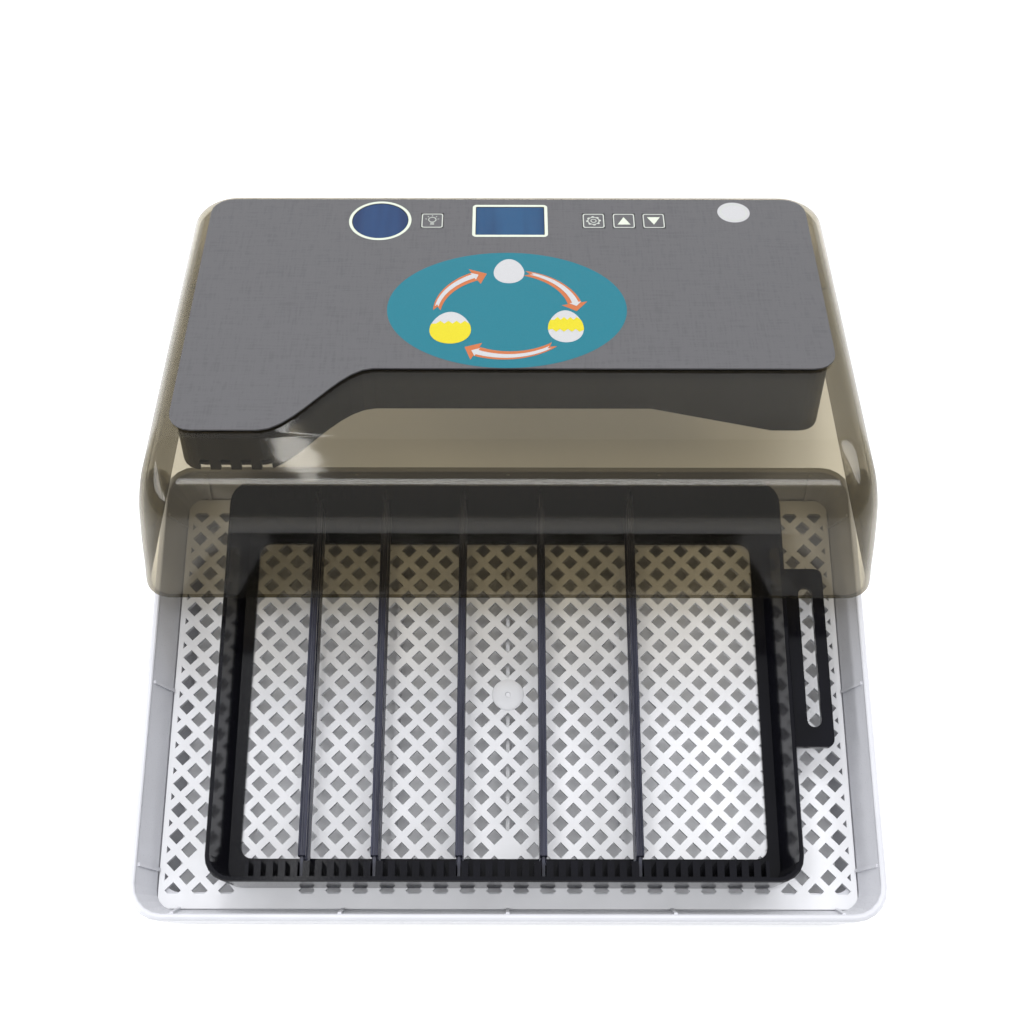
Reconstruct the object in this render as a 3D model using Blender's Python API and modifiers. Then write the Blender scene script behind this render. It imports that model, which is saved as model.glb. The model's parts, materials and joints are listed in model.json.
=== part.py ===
"""Table-top egg incubator, open for loading.

A white moulded base holds a perforated floor, and on the floor slides a black egg
tray with five lift-out dividers. The smoky clear lid has been lifted off and leans
behind the base: its front edge hovers over the tray, its side walls rest on the rear
rim and its rear edge stands on the table. The lid carries the control housing with
the label plate, keys, display, candling lamp, fan, heater and egg-turning motor.

Metres, +Z up. The table is z = 0, and the origin is the middle of the footprint.
+X is the user's right, +Y points away from the user.
"""

import bmesh
import bpy
from math import cos, pi, radians, sin
from mathutils import Matrix, Vector

MM = 0.001
GAP = 0.3 * MM

# Base: outer size at the rim, and the levels of its rim, floor and underside.
BASE_HALF_X = 190 * MM
BASE_DEPTH = 245 * MM
RIM_Z = 53 * MM
GRID_TOP = RIM_Z - 22 * MM
GRID_THICK = 2 * MM
FOOT_HEIGHT = 3 * MM
BASE_CORNER = 17 * MM
SLOPE_TOP_INSET = 3.4 * MM
SLOPE_TOP_Z = RIM_Z - 2.4 * MM
SLOPE_FOOT_Z = GRID_TOP + 0.8 * MM
SLOPE_FOOT_SIDE = 10.2 * MM
SLOPE_FOOT_FRONT = 7.8 * MM
SLOPE_FOOT_REAR = 11 * MM
RIB_PITCH_X = 83.8 * MM
RIB_PITCH_Y = 94.6 * MM

# Lid: size at its open rim, height of its flat top, wall, and how it leans.
LID_HALF_X = 188 * MM
LID_DEPTH = 246 * MM
LID_TOP = 82 * MM
LID_WALL = 2.4 * MM
LID_TILT = radians(20.5)
LID_EDGE_FROM_FRONT = 157.3 * MM

# Power inlet in the lid's rear wall: middle, half size, and its outer face.
INLET_X = 120 * MM
INLET_Z = 58 * MM
INLET_HALF_X = 12 * MM
INLET_HALF_Z = 8 * MM
INLET_REAR = 240.4 * MM

# The footprint runs from the base's front edge to the inlet's top edge, the rearmost point.
LID_REACH = INLET_REAR * cos(LID_TILT) + (INLET_Z + INLET_HALF_Z) * sin(LID_TILT)
BASE_FRONT = -(LID_EDGE_FROM_FRONT + LID_REACH) / 2
BASE_Y = BASE_FRONT + BASE_DEPTH / 2
BASE_REAR = BASE_FRONT + BASE_DEPTH
LID_ORIGIN = Vector((0, BASE_FRONT + LID_EDGE_FROM_FRONT, LID_DEPTH * sin(LID_TILT)))

# Floor grid: square holes standing on a corner, in staggered rows.
GRID_HALF_X = 179.4 * MM
GRID_FRONT = BASE_FRONT + 8.2 * MM
GRID_REAR = BASE_REAR - 11.4 * MM
HOLE_PITCH = 27.14 * MM
HOLE_HALF = 7.9 * MM
BOSS_RADIUS = 8.5 * MM
BOSS_Y = BASE_FRONT + 120.7 * MM

# Egg tray: outer box, wall, comb teeth and the turning loop on its right side.
TRAY_X = -1.75 * MM
TRAY_HALF_X = 149.5 * MM
TRAY_FRONT = BASE_FRONT + 17.7 * MM
TRAY_REAR = BASE_FRONT + 233.4 * MM
TRAY_BOTTOM = GRID_TOP + GAP
TRAY_TOP = RIM_Z + 8 * MM
TRAY_WALL = 2.5 * MM
TRAY_DRAFT = 5.3 * MM
TRAY_CORNER = 13 * MM
FLANGE_THICK = 2.6 * MM
OPENING_HALF_X = 135.8 * MM
OPENING_FRONT = BASE_FRONT + 33.3 * MM
OPENING_REAR = BASE_FRONT + 206.5 * MM
COMB_PITCH = 6.07 * MM
COMB_PHASE = 0.25 * COMB_PITCH
COMB_SLOTS = 21
COMB_DEPTH = 8 * MM
SLOT_WIDTH = 2.6 * MM
LOOP_OUTER_X = 169.3 * MM
LOOP_FRONT = BASE_FRONT + 88 * MM
LOOP_REAR = BASE_FRONT + 185.5 * MM
LOOP_Z = RIM_Z - 5 * MM
LOOP_THICK = 3.4 * MM
PIN_SLOT_X = 159.6 * MM
PIN_SLOT_WIDTH = 7.4 * MM
PIN_SLOT_MARGIN = 10.5 * MM

# Dividers: the comb slot that each one stands in, counted from the middle.
DIVIDER_SLOTS = (-17, -11, -4, 3, 11)
DIVIDER_WEB = 1.6 * MM
DIVIDER_RAIL = 3.8 * MM
DIVIDER_TOP = RIM_Z + 3 * MM
DIVIDER_BOTTOM = TRAY_BOTTOM + FLANGE_THICK + GAP

# Label plate and control housing, in the lid's own frame (x, y from the front edge, z up).
PLATE_HALF_X = 168 * MM
PLATE_REAR = 224.3 * MM
PLATE_FRONT = 83 * MM
PLATE_WING_FRONT = 38.5 * MM
PLATE_CORNER = 12 * MM
PLATE_STEP_X = -96 * MM
PLATE_STEP_HALF = 27 * MM
PLATE_BOTTOM = LID_TOP + GAP
PLATE_THICK = 0.8 * MM
HOUSING_INSET = 2.5 * MM
HOUSING_TOP = LID_TOP - LID_WALL - GAP
HOUSING_WALL = 2 * MM
HOUSING_FLOOR = 52 * MM
POCKET_FLOOR = 36 * MM
POCKET_SLOPE = (75 * MM, 140 * MM)
COVER_THICK = 1.8 * MM

# Controls on the label plate.
CONTROL_Y = 204.6 * MM
LED_X = -72 * MM
LED_RADIUS = 15.5 * MM
DISPLAY_X = 0.9 * MM
DISPLAY_HALF = (19 * MM, 12.4 * MM)
KEY_X = (-42.8 * MM, 47.8 * MM, 64.8 * MM, 81.6 * MM)
KEY_NAMES = ("key_lamp", "key_set", "key_up", "key_down")
KEY_HALF = (6.1 * MM, 6.4 * MM)
KEY_TOP = PLATE_BOTTOM + PLATE_THICK
KEY_STEM_BOTTOM = 70.5 * MM

# Fan, heater and egg-turning drive, in the lid's own frame.
FAN_XY = (-30 * MM, 148 * MM)
FAN_HALF = 30 * MM
FAN_BORE = 27.5 * MM
FAN_BOTTOM = 55 * MM
FAN_HEIGHT = 15 * MM
FAN_BLADES = 7
HEATER_RADIUS = 36 * MM
HEATER_Z = 44 * MM
HEATER_ROD = 3 * MM
CRANK_XY = (151.5 * MM, 134 * MM)
CRANK_THROW = 17.5 * MM
CRANK_DISC_RADIUS = 22 * MM
CRANK_DISC_Z = 28 * MM
PIN_RADIUS = 3 * MM
PIN_BOTTOM = -6 * MM
MOTOR_XY = (139 * MM, 134 * MM)
MOTOR_RADIUS = 22.5 * MM
MOTOR_BOTTOM = 50 * MM
SHAFT_RADIUS = 3.5 * MM


def start():
    """Empties the scene and makes one collection for the parts and one for cutters."""
    for old in list(bpy.data.objects):
        bpy.data.objects.remove(old, do_unlink=True)
    made = []
    for name in ("egg_incubator", "cutters"):
        folder = bpy.data.collections.new(name)
        bpy.context.scene.collection.children.link(folder)
        made.append(folder)
    return made


PARTS, CUTTERS = start()


def lid_frame():
    """An empty at the lid's front edge, turned as the lid leans."""
    frame = bpy.data.objects.new("lid_frame", None)
    PARTS.objects.link(frame)
    frame.location = LID_ORIGIN
    frame.rotation_euler = (-LID_TILT, 0, 0)
    return frame


LID = lid_frame()


def material(name, color, roughness, metallic=0.0, alpha=1.0):
    """A Principled material, made once for each name."""
    made = bpy.data.materials.get(name)
    if made is None:
        made = bpy.data.materials.new(name)
        made.use_nodes = True
        shader = made.node_tree.nodes["Principled BSDF"]
        shader.inputs["Base Color"].default_value = (*color, 1)
        shader.inputs["Roughness"].default_value = roughness
        shader.inputs["Metallic"].default_value = metallic
        shader.inputs["Alpha"].default_value = alpha
    return made


def white_plastic():
    return material("white_plastic", (0.84, 0.84, 0.87), 0.35)


def black_plastic():
    return material("black_plastic", (0.012, 0.013, 0.02), 0.4)


def housing_plastic():
    return material("housing_plastic", (0.04, 0.035, 0.032), 0.4)


def smoky_plastic():
    return material("smoky_plastic", (0.32, 0.27, 0.14), 0.08, 0.0, 0.45)


def label_film():
    return material("label_film", (0.16, 0.16, 0.17), 0.45)


def blue_window():
    return material("blue_window", (0.02, 0.08, 0.28), 0.15)


def rubber():
    return material("foot_rubber", (0.02, 0.02, 0.02), 0.8)


def steel():
    return material("bright_steel", (0.6, 0.6, 0.6), 0.3, 1.0)


def circuit_board():
    return material("circuit_board", (0.02, 0.12, 0.05), 0.5)


def wire_jacket():
    return material("wire_jacket", (0.3, 0.02, 0.02), 0.5)


def mesh_from(name, build):
    """A mesh filled by a function that works on a bmesh."""
    mesh = bpy.data.meshes.new(name)
    work = bmesh.new()
    build(work)
    bmesh.ops.recalc_face_normals(work, faces=work.faces)
    work.to_mesh(mesh)
    work.free()
    return mesh


def add(name, mesh, look, parent=None, smooth=None):
    """Puts a mesh in the scene as one named part."""
    part = bpy.data.objects.new(name, mesh)
    PARTS.objects.link(part)
    mesh.materials.append(look)
    part.parent = parent
    if smooth is not None:
        mesh.shade_smooth()
        mesh.set_sharp_from_angle(angle=radians(smooth))
    return part


def tool(name, mesh, parent=None):
    """Puts a mesh in the cutters' collection, where it isn't built."""
    cutter = bpy.data.objects.new(name, mesh)
    CUTTERS.objects.link(cutter)
    cutter.parent = parent
    cutter.hide_render = True
    cutter.display_type = "WIRE"
    return cutter


def combine(part, cutter, operation):
    """A Boolean of the part with a cutter: DIFFERENCE, UNION or INTERSECT."""
    step = part.modifiers.new(cutter.name, "BOOLEAN")
    step.operation = operation
    step.solver = "EXACT"
    step.object = cutter


def box_into(work, low, high):
    """Adds a box between two corners."""
    low, high = Vector(low), Vector(high)
    place = Matrix.Translation((low + high) / 2) @ Matrix.Diagonal((*(high - low), 1))
    bmesh.ops.create_cube(work, size=1, matrix=place)


def cylinder_into(work, x, y, z_low, z_high, radius, sides=24, radius_high=None):
    """Adds an upright cylinder, or a cone when the radii differ."""
    bmesh.ops.create_cone(
        work,
        cap_ends=True,
        segments=sides,
        radius1=radius,
        radius2=radius if radius_high is None else radius_high,
        depth=z_high - z_low,
        matrix=Matrix.Translation((x, y, (z_low + z_high) / 2)),
    )


def boxes(name, corners):
    """One mesh of several boxes, each given by its low and high corner."""

    def build(work):
        for low, high in corners:
            box_into(work, low, high)

    return mesh_from(name, build)


def turned_box(name, place):
    """A unit box placed, turned and stretched by a matrix."""

    def build(work):
        bmesh.ops.create_cube(work, size=1, matrix=place)

    return mesh_from(name, build)


def cylinders(name, specs):
    """One mesh of several upright cylinders."""

    def build(work):
        for spec in specs:
            cylinder_into(work, *spec)

    return mesh_from(name, build)


def rounded_box(x_low, x_high, y_low, y_high, radius, steps=5):
    """Points of a rectangle with round corners, counter-clockwise."""
    corners = (
        (x_high - radius, y_high - radius, 0),
        (x_low + radius, y_high - radius, pi / 2),
        (x_low + radius, y_low + radius, pi),
        (x_high - radius, y_low + radius, 3 * pi / 2),
    )
    points = []
    for x, y, start_angle in corners:
        for k in range(steps + 1):
            a = start_angle + pi / 2 * k / steps
            points.append((x + radius * cos(a), y + radius * sin(a)))
    return points


def ring_loft(name, rings, closed=False, capped=True):
    """Walls through a stack of outlines that have the same number of points."""

    def build(work):
        loops = [[work.verts.new((x, y, z)) for x, y in points] for points, z in rings]
        pairs = list(zip(loops, loops[1:]))
        if closed:
            pairs.append((loops[-1], loops[0]))
        for lower, upper in pairs:
            for k in range(len(lower)):
                n = (k + 1) % len(lower)
                work.faces.new((lower[k], lower[n], upper[n], upper[k]))
        if capped:
            work.faces.new(loops[0])
            work.faces.new(loops[-1])

    return mesh_from(name, build)


def flat_outline(name, outlines, z_low, z_high):
    """A mesh slab from flat outlines: the first is the edge, the others are holes."""
    curve = bpy.data.curves.new(name, "CURVE")
    curve.dimensions = "2D"
    curve.fill_mode = "BOTH"
    curve.extrude = (z_high - z_low) / 2
    for outline in outlines:
        spline = curve.splines.new("POLY")
        spline.points.add(len(outline) - 1)
        for point, (x, y) in zip(spline.points, outline):
            point.co = (x, y, 0, 1)
        spline.use_cyclic_u = True
    holder = bpy.data.objects.new(name, curve)
    CUTTERS.objects.link(holder)
    bpy.context.view_layer.update()
    mesh = bpy.data.meshes.new_from_object(
        holder.evaluated_get(bpy.context.evaluated_depsgraph_get())
    )
    bpy.data.objects.remove(holder)
    work = bmesh.new()
    work.from_mesh(mesh)
    bmesh.ops.remove_doubles(work, verts=work.verts, dist=0.01 * MM)
    bmesh.ops.translate(work, verts=work.verts, vec=(0, 0, (z_low + z_high) / 2))
    bmesh.ops.recalc_face_normals(work, faces=work.faces)
    work.to_mesh(mesh)
    work.free()
    mesh.materials.clear()
    return mesh


def turned(name, profile, look, parent, location, steps=24, closed=False):
    """A round part: its profile runs down the outer side, from top to bottom."""
    mesh = bpy.data.meshes.new(name)
    points = [(r, 0, z) for r, z in profile]
    edges = [(k, k + 1) for k in range(len(points) - 1)]
    if closed:
        edges.append((len(points) - 1, 0))
    mesh.from_pydata(points, edges, [])
    part = add(name, mesh, look, parent)
    part.location = location
    screw = part.modifiers.new("turn", "SCREW")
    screw.axis = "Z"
    screw.steps = steps
    screw.render_steps = steps
    screw.use_merge_vertices = True
    screw.merge_threshold = 0.01 * MM
    screw.use_smooth_shade = True
    return part


def tube(name, points, radius, look, parent=None):
    """A wire or rod along a line of points, with closed ends."""
    curve = bpy.data.curves.new(name, "CURVE")
    curve.dimensions = "3D"
    curve.bevel_depth = radius
    curve.bevel_resolution = 1
    curve.use_fill_caps = True
    curve.render_resolution_u = 0
    spline = curve.splines.new("POLY")
    spline.points.add(len(points) - 1)
    for point, place in zip(spline.points, points):
        point.co = (*place, 1)
    part = bpy.data.objects.new(name, curve)
    PARTS.objects.link(part)
    curve.materials.append(look)
    part.parent = parent
    return part


def arc_points(centre, radius, first, last, steps, z):
    """Points along an arc, angles in degrees."""
    places = []
    for k in range(steps + 1):
        a = radians(first + (last - first) * k / steps)
        places.append((centre[0] + radius * cos(a), centre[1] + radius * sin(a), z))
    return places


def base_ring(inset, z, front=None, rear=None):
    """The base's outline, moved inwards, with its own front and rear inset if given."""
    return (
        rounded_box(
            -BASE_HALF_X + inset,
            BASE_HALF_X - inset,
            BASE_FRONT + (inset if front is None else front),
            BASE_REAR - (inset if rear is None else rear),
            max(BASE_CORNER - 0.7 * inset, 5 * MM),
        ),
        z,
    )


def make_base_tub():
    """The white base: outer skirt, lip, sloping inner wall, ledge for the floor, and a pan."""
    ledge_z = GRID_TOP - GRID_THICK - GAP
    rings = [
        base_ring(14.2 * MM, FOOT_HEIGHT, 17.6 * MM, 15.6 * MM),
        base_ring(11.4 * MM, ledge_z - 2.3 * MM, 15 * MM, 12.6 * MM),
        base_ring(8.2 * MM, ledge_z - 0.5 * MM, 5.8 * MM, 9.2 * MM),
        base_ring(3.7 * MM, RIM_Z - 8.5 * MM, 3 * MM, 4.1 * MM),
        base_ring(7.2 * MM, FOOT_HEIGHT + 0.4 * MM),
        base_ring(5.5 * MM, FOOT_HEIGHT),
        base_ring(4 * MM, FOOT_HEIGHT + 2 * MM),
        base_ring(0.6 * MM, RIM_Z - 12 * MM),
        base_ring(0, RIM_Z - 2 * MM),
        base_ring(0.7 * MM, RIM_Z - 0.4 * MM),
        base_ring(1.6 * MM, RIM_Z),
        base_ring(SLOPE_TOP_INSET - 0.6 * MM, RIM_Z),
        base_ring(SLOPE_TOP_INSET, RIM_Z - 0.5 * MM),
        base_ring(SLOPE_TOP_INSET, SLOPE_TOP_Z),
        base_ring(SLOPE_FOOT_SIDE, SLOPE_FOOT_Z, SLOPE_FOOT_FRONT, SLOPE_FOOT_REAR),
        base_ring(SLOPE_FOOT_SIDE, ledge_z, SLOPE_FOOT_FRONT, SLOPE_FOOT_REAR),
        base_ring(13.5 * MM, ledge_z, 17 * MM, 15 * MM),
        base_ring(16 * MM, FOOT_HEIGHT + 2.4 * MM, 20 * MM, 18 * MM),
    ]
    tub = add("base_tub", ring_loft("base_tub", rings), white_plastic(), None, 30)
    for name, build in (("wall_ribs", wall_ribs), ("pan_ribs", pan_ribs)):
        combine(tub, tool(name, mesh_from(name, build)), "UNION")
    return tub


def wall_ribs(work):
    """Thin upright ribs on the sloping inner wall: five in front and behind, three a side."""
    low, high = SLOPE_FOOT_Z + 0.3 * MM, SLOPE_TOP_Z - 0.6 * MM
    sunk, proud, half = 0.9 * MM, 1.2 * MM, 0.9 * MM
    for k in (-2, -1, 0, 1, 2):
        x = k * RIB_PITCH_X
        for edge, inward, foot in (
            (BASE_FRONT, 1, SLOPE_FOOT_FRONT),
            (BASE_REAR, -1, SLOPE_FOOT_REAR),
        ):
            y = edge + inward * foot
            near, far = sorted((y - inward * sunk, y + inward * proud))
            corner = ((x - half, near, low), (x + half, far, high))
            leaning_box(work, *corner, (0, -inward * (foot - SLOPE_TOP_INSET), 0))
    for k in (-1, 0, 1):
        y = BASE_Y + k * RIB_PITCH_Y
        for inward in (1, -1):
            x = inward * (-BASE_HALF_X + SLOPE_FOOT_SIDE)
            near, far = sorted((x - inward * sunk, x + inward * proud))
            corner = ((near, y - half, low), (far, y + half, high))
            leaning_box(work, *corner, (-inward * (SLOPE_FOOT_SIDE - SLOPE_TOP_INSET), 0, 0))


def leaning_box(work, low, high, shift):
    """Adds a box whose top is moved sideways, so that it follows a sloping wall."""
    before = set(work.verts)
    box_into(work, low, high)
    top = [v for v in work.verts if v not in before and v.co.z > (low[2] + high[2]) / 2]
    bmesh.ops.translate(work, verts=top, vec=shift)


def pan_ribs(work):
    """Upright walls in the pan that part it into water channels."""
    low, high = FOOT_HEIGHT + 1.9 * MM, GRID_TOP - GRID_THICK - 6 * MM
    near, far = BASE_FRONT + 45 * MM, BASE_REAR - 45 * MM
    for x in (-60 * MM, 0, 60 * MM):
        box_into(work, (x - 1 * MM, near, low), (x + 1 * MM, far, high))


def make_feet():
    """Four round rubber pads under the base's corners."""
    for side_x, name_x in ((-1, "left"), (1, "right")):
        for y, name_y in ((BASE_FRONT + 26 * MM, "front"), (BASE_REAR - 26 * MM, "rear")):
            name = f"foot_{name_y}_{name_x}"
            turned(
                name,
                ((0, FOOT_HEIGHT - GAP), (8 * MM, FOOT_HEIGHT - GAP), (7.4 * MM, 0), (0, 0)),
                rubber(),
                None,
                (side_x * 160 * MM, y, 0),
                16,
            )


def diamond(x, y, half):
    return [(x + half, y), (x, y + half), (x - half, y), (x, y - half)]


def make_floor_grid():
    """The lift-out floor: a plate pierced by staggered square holes, and a centre boss."""
    outlines = [rounded_box(-GRID_HALF_X, GRID_HALF_X, GRID_FRONT, GRID_REAR, 11 * MM, 3)]
    margin = HOLE_HALF + 2.5 * MM
    rows = round((GRID_REAR - GRID_FRONT) / HOLE_PITCH * 2)
    columns = round(2 * GRID_HALF_X / HOLE_PITCH)
    for row in range(-rows, rows + 1):
        for column in range(-columns, columns + 1):
            x = (column + 0.5 * (row % 2)) * HOLE_PITCH
            y = BOSS_Y + row * HOLE_PITCH / 2
            inside = abs(x) < GRID_HALF_X - margin and GRID_FRONT + margin < y < GRID_REAR - margin
            if inside and (x, row) != (0, 0):
                outlines.append(diamond(x, y, HOLE_HALF))
    mesh = flat_outline("floor_grid", outlines, GRID_TOP - GRID_THICK, GRID_TOP)
    grid = add("floor_grid", mesh, white_plastic())
    boss = cylinders(
        "floor_boss", [(0, BOSS_Y, GRID_TOP - GRID_THICK - 1 * MM, GRID_TOP, BOSS_RADIUS)]
    )
    combine(grid, tool("floor_boss", boss), "UNION")
    return grid


def slot_x(slot):
    """Where a comb slot lies across the tray."""
    return TRAY_X + slot * COMB_PITCH + COMB_PHASE


def comb_bar(name, y_wall, direction):
    """A toothed bar along one long wall, with its back sunk 1 mm into the wall."""
    lines_y = [y_wall - direction * 1 * MM, y_wall + direction * 0.4 * MM]
    lines_y.append(y_wall + direction * COMB_DEPTH)
    lines_x = [slot_x(-COMB_SLOTS) - COMB_PITCH / 2]
    for slot in range(-COMB_SLOTS, COMB_SLOTS + 1):
        lines_x += [slot_x(slot) - SLOT_WIDTH / 2, slot_x(slot) + SLOT_WIDTH / 2]
    lines_x.append(slot_x(COMB_SLOTS) + COMB_PITCH / 2)
    low_z, high_z = TRAY_BOTTOM + FLANGE_THICK - 1 * MM, TRAY_TOP - 2 * MM

    def build(work):
        corners = [[work.verts.new((x, y, low_z)) for y in lines_y] for x in lines_x]
        for k in range(len(lines_x) - 1):
            near, far = corners[k], corners[k + 1]
            work.faces.new((near[0], far[0], far[1], near[1]))
            if k % 2 == 0:
                work.faces.new((near[1], far[1], far[2], near[2]))
        grown = bmesh.ops.extrude_face_region(work, geom=work.faces[:])["geom"]
        raised = [item for item in grown if isinstance(item, bmesh.types.BMVert)]
        bmesh.ops.translate(work, verts=raised, vec=(0, 0, high_z - low_z))
        loose = [v for v in work.verts if not v.link_faces]
        bmesh.ops.delete(work, geom=loose, context="VERTS")

    return tool(name, mesh_from(name, build))


def make_egg_tray():
    """The black tray: leaning side walls, a bottom flange, comb teeth and the turning loop."""
    low_x, high_x = TRAY_X - TRAY_HALF_X, TRAY_X + TRAY_HALF_X
    flange_top = TRAY_BOTTOM + FLANGE_THICK

    def walls(inset_x, inset_y, z):
        return (
            rounded_box(
                low_x + inset_x,
                high_x - inset_x,
                TRAY_FRONT + inset_y,
                TRAY_REAR - inset_y,
                TRAY_CORNER - 0.6 * inset_x,
            ),
            z,
        )

    def opening(z):
        return (
            rounded_box(
                TRAY_X - OPENING_HALF_X,
                TRAY_X + OPENING_HALF_X,
                OPENING_FRONT,
                OPENING_REAR,
                6 * MM,
            ),
            z,
        )

    rings = [
        walls(TRAY_DRAFT, 1.2 * MM, TRAY_BOTTOM),
        walls(0.2 * MM, 0.2 * MM, TRAY_TOP - 0.8 * MM),
        walls(0.8 * MM, 0.8 * MM, TRAY_TOP),
        walls(TRAY_WALL, TRAY_WALL, TRAY_TOP),
        walls(TRAY_WALL + TRAY_DRAFT, TRAY_WALL + 0.6 * MM, flange_top),
        opening(flange_top),
        opening(TRAY_BOTTOM),
    ]
    mesh = ring_loft("egg_tray", rings, closed=True, capped=False)
    tray = add("egg_tray", mesh, black_plastic(), None, 30)
    combine(tray, comb_bar("rear_comb", TRAY_REAR - TRAY_WALL - 0.3 * MM, -1), "UNION")
    combine(tray, comb_bar("front_comb", TRAY_FRONT + TRAY_WALL + 0.3 * MM, 1), "UNION")
    combine(tray, turning_loop(high_x - 3.2 * MM), "UNION")
    return tray


def turning_loop(root_x):
    """The flat loop on the tray's right side, whose slot takes the crank pin."""
    edge = rounded_box(root_x - 6 * MM, LOOP_OUTER_X, LOOP_FRONT, LOOP_REAR, 4 * MM)
    edge = [(root_x if x < root_x else x, y) for x, y in edge if x > root_x - 5.9 * MM]
    half = PIN_SLOT_WIDTH / 2
    slot = rounded_box(
        PIN_SLOT_X - half,
        PIN_SLOT_X + half,
        LOOP_FRONT + PIN_SLOT_MARGIN,
        LOOP_REAR - PIN_SLOT_MARGIN,
        half - 0.1 * MM,
        4,
    )
    mesh = flat_outline("turning_loop", [unique(edge), slot], LOOP_Z, LOOP_Z + LOOP_THICK)
    return tool("turning_loop", mesh)


def unique(points):
    """The outline without neighbouring points that fall together."""
    kept = []
    for point in points:
        if not kept or (Vector(point) - Vector(kept[-1])).length > 0.05 * MM:
            kept.append(point)
    return kept


def make_dividers():
    """Thin upright walls that stand in the comb slots and part the rows of eggs."""
    web_front = TRAY_FRONT + TRAY_WALL + 1.2 * MM
    web_rear = TRAY_REAR - TRAY_WALL - 1.2 * MM
    body_front = TRAY_FRONT + TRAY_WALL + COMB_DEPTH + 1 * MM
    body_rear = TRAY_REAR - TRAY_WALL - COMB_DEPTH - 1 * MM
    for number, slot in enumerate(DIVIDER_SLOTS, 1):
        x = slot_x(slot)
        half_web, half_rail = DIVIDER_WEB / 2, DIVIDER_RAIL / 2
        low, high = DIVIDER_BOTTOM, DIVIDER_TOP
        web = boxes(
            f"divider_{number}",
            [((-half_web, web_front, low), (half_web, web_rear, high - 2 * MM))],
        )
        divider = add(f"divider_{number}", web, black_plastic())
        divider.location.x = x
        rails = [
            ((-half_rail, body_front, high - 3 * MM), (half_rail, body_rear, high)),
            ((-half_rail, body_front, low + 1 * MM), (half_rail, body_rear, low + 3.4 * MM)),
        ]
        for n, (corner_low, corner_high) in enumerate(rails):
            rail = tool(
                f"divider_{number}_rail_{n}",
                boxes(f"divider_{number}_rail_{n}", [(corner_low, corner_high)]),
            )
            rail.location.x = x
            combine(divider, rail, "UNION")


def lid_ring(half_x, front, rear, radius, z):
    return rounded_box(-half_x, half_x, front, rear, radius, 6), z


def make_lid_shell():
    """The smoky clear lid: an open shell with a soft shoulder, holed for the controls."""
    rings = [
        lid_ring(LID_HALF_X, 0, LID_DEPTH, 15 * MM, 0),
        lid_ring(186.4 * MM, 0.8 * MM, 245 * MM, 15 * MM, 16 * MM),
        lid_ring(182.6 * MM, 3.4 * MM, 241.4 * MM, 17 * MM, 58 * MM),
        lid_ring(180.6 * MM, 7 * MM, 239 * MM, 19 * MM, 67.5 * MM),
        lid_ring(177.8 * MM, 14 * MM, 235.6 * MM, 20 * MM, 74.5 * MM),
        lid_ring(174.6 * MM, 24 * MM, 231.4 * MM, 20 * MM, 79.8 * MM),
        lid_ring(170.6 * MM, 35 * MM, 227 * MM, 18 * MM, LID_TOP),
    ]
    mesh = ring_loft("lid_shell", rings, capped=False)
    work = bmesh.new()
    work.from_mesh(mesh)
    rim = [e for e in work.edges if e.is_boundary and min(v.co.z for v in e.verts) > 1 * MM]
    bmesh.ops.contextual_create(work, geom=rim)
    bmesh.ops.recalc_face_normals(work, faces=work.faces)
    top = max(work.faces, key=lambda face: face.calc_center_median().z)
    if top.normal.z < 0:
        bmesh.ops.reverse_faces(work, faces=work.faces)
    work.to_mesh(mesh)
    work.free()
    shell = add("lid_shell", mesh, smoky_plastic(), LID, 40)
    wall = shell.modifiers.new("wall", "SOLIDIFY")
    wall.thickness = LID_WALL
    wall.offset = -1
    wall.use_even_offset = True
    windows = control_holes("lid_windows", 0.5 * MM, 0.5 * MM)
    combine(shell, tool("lid_windows", windows, LID), "DIFFERENCE")
    combine(shell, tool("inlet_port", inlet_box("inlet_port", 0.5 * MM), LID), "DIFFERENCE")
    return shell


def control_holes(name, margin, key_margin):
    """Upright cutters for the lamp, the display and the keys."""
    low, high = HOUSING_TOP - 6 * MM, LID_TOP + 6 * MM

    def build(work):
        cylinder_into(work, LED_X, CONTROL_Y, low, high, LED_RADIUS + margin, 32)
        half_x, half_y = DISPLAY_HALF[0] + margin, DISPLAY_HALF[1] + margin
        box_into(
            work,
            (DISPLAY_X - half_x, CONTROL_Y - half_y, low),
            (DISPLAY_X + half_x, CONTROL_Y + half_y, high),
        )
        for x in KEY_X:
            half_x, half_y = KEY_HALF[0] + key_margin, KEY_HALF[1] + key_margin
            box_into(
                work,
                (x - half_x, CONTROL_Y - half_y, low),
                (x + half_x, CONTROL_Y + half_y, high),
            )

    return mesh_from(name, build)


def plate_outline(inset=0.0):
    """The label plate's edge: wide at the left, stepping back in an S-curve to the right."""
    half = PLATE_HALF_X - inset
    rear, front = PLATE_REAR - inset, PLATE_FRONT + inset
    wing = PLATE_WING_FRONT + inset
    radius = PLATE_CORNER - inset / 2
    points = []

    def corner(x, y, first):
        for k in range(6):
            a = radians(first + 18 * k)
            points.append((x + radius * cos(a), y + radius * sin(a)))

    corner(half - radius, rear - radius, 0)
    corner(-half + radius, rear - radius, 90)
    corner(-half + radius, wing + radius, 180)
    steps = 10
    for k in range(steps + 1):
        t = k / steps
        rise = t * t * (3 - 2 * t)
        shift = inset * 4 * t * (1 - t)
        x = PLATE_STEP_X + PLATE_STEP_HALF * (2 * t - 1) - shift
        points.append((x, wing + (front - wing) * rise))
    corner(half - radius, front + radius, 270)
    return points


def make_label_plate():
    """The grey printed plate on the lid's top, cut out round the lamp, display and keys."""
    mesh = flat_outline("label_plate", [plate_outline()], PLATE_BOTTOM, PLATE_BOTTOM + PLATE_THICK)
    plate = add("label_plate", mesh, label_film(), LID)
    holes = tool("plate_windows", control_holes("plate_windows", GAP, GAP), LID)
    combine(plate, holes, "DIFFERENCE")
    return plate


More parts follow.
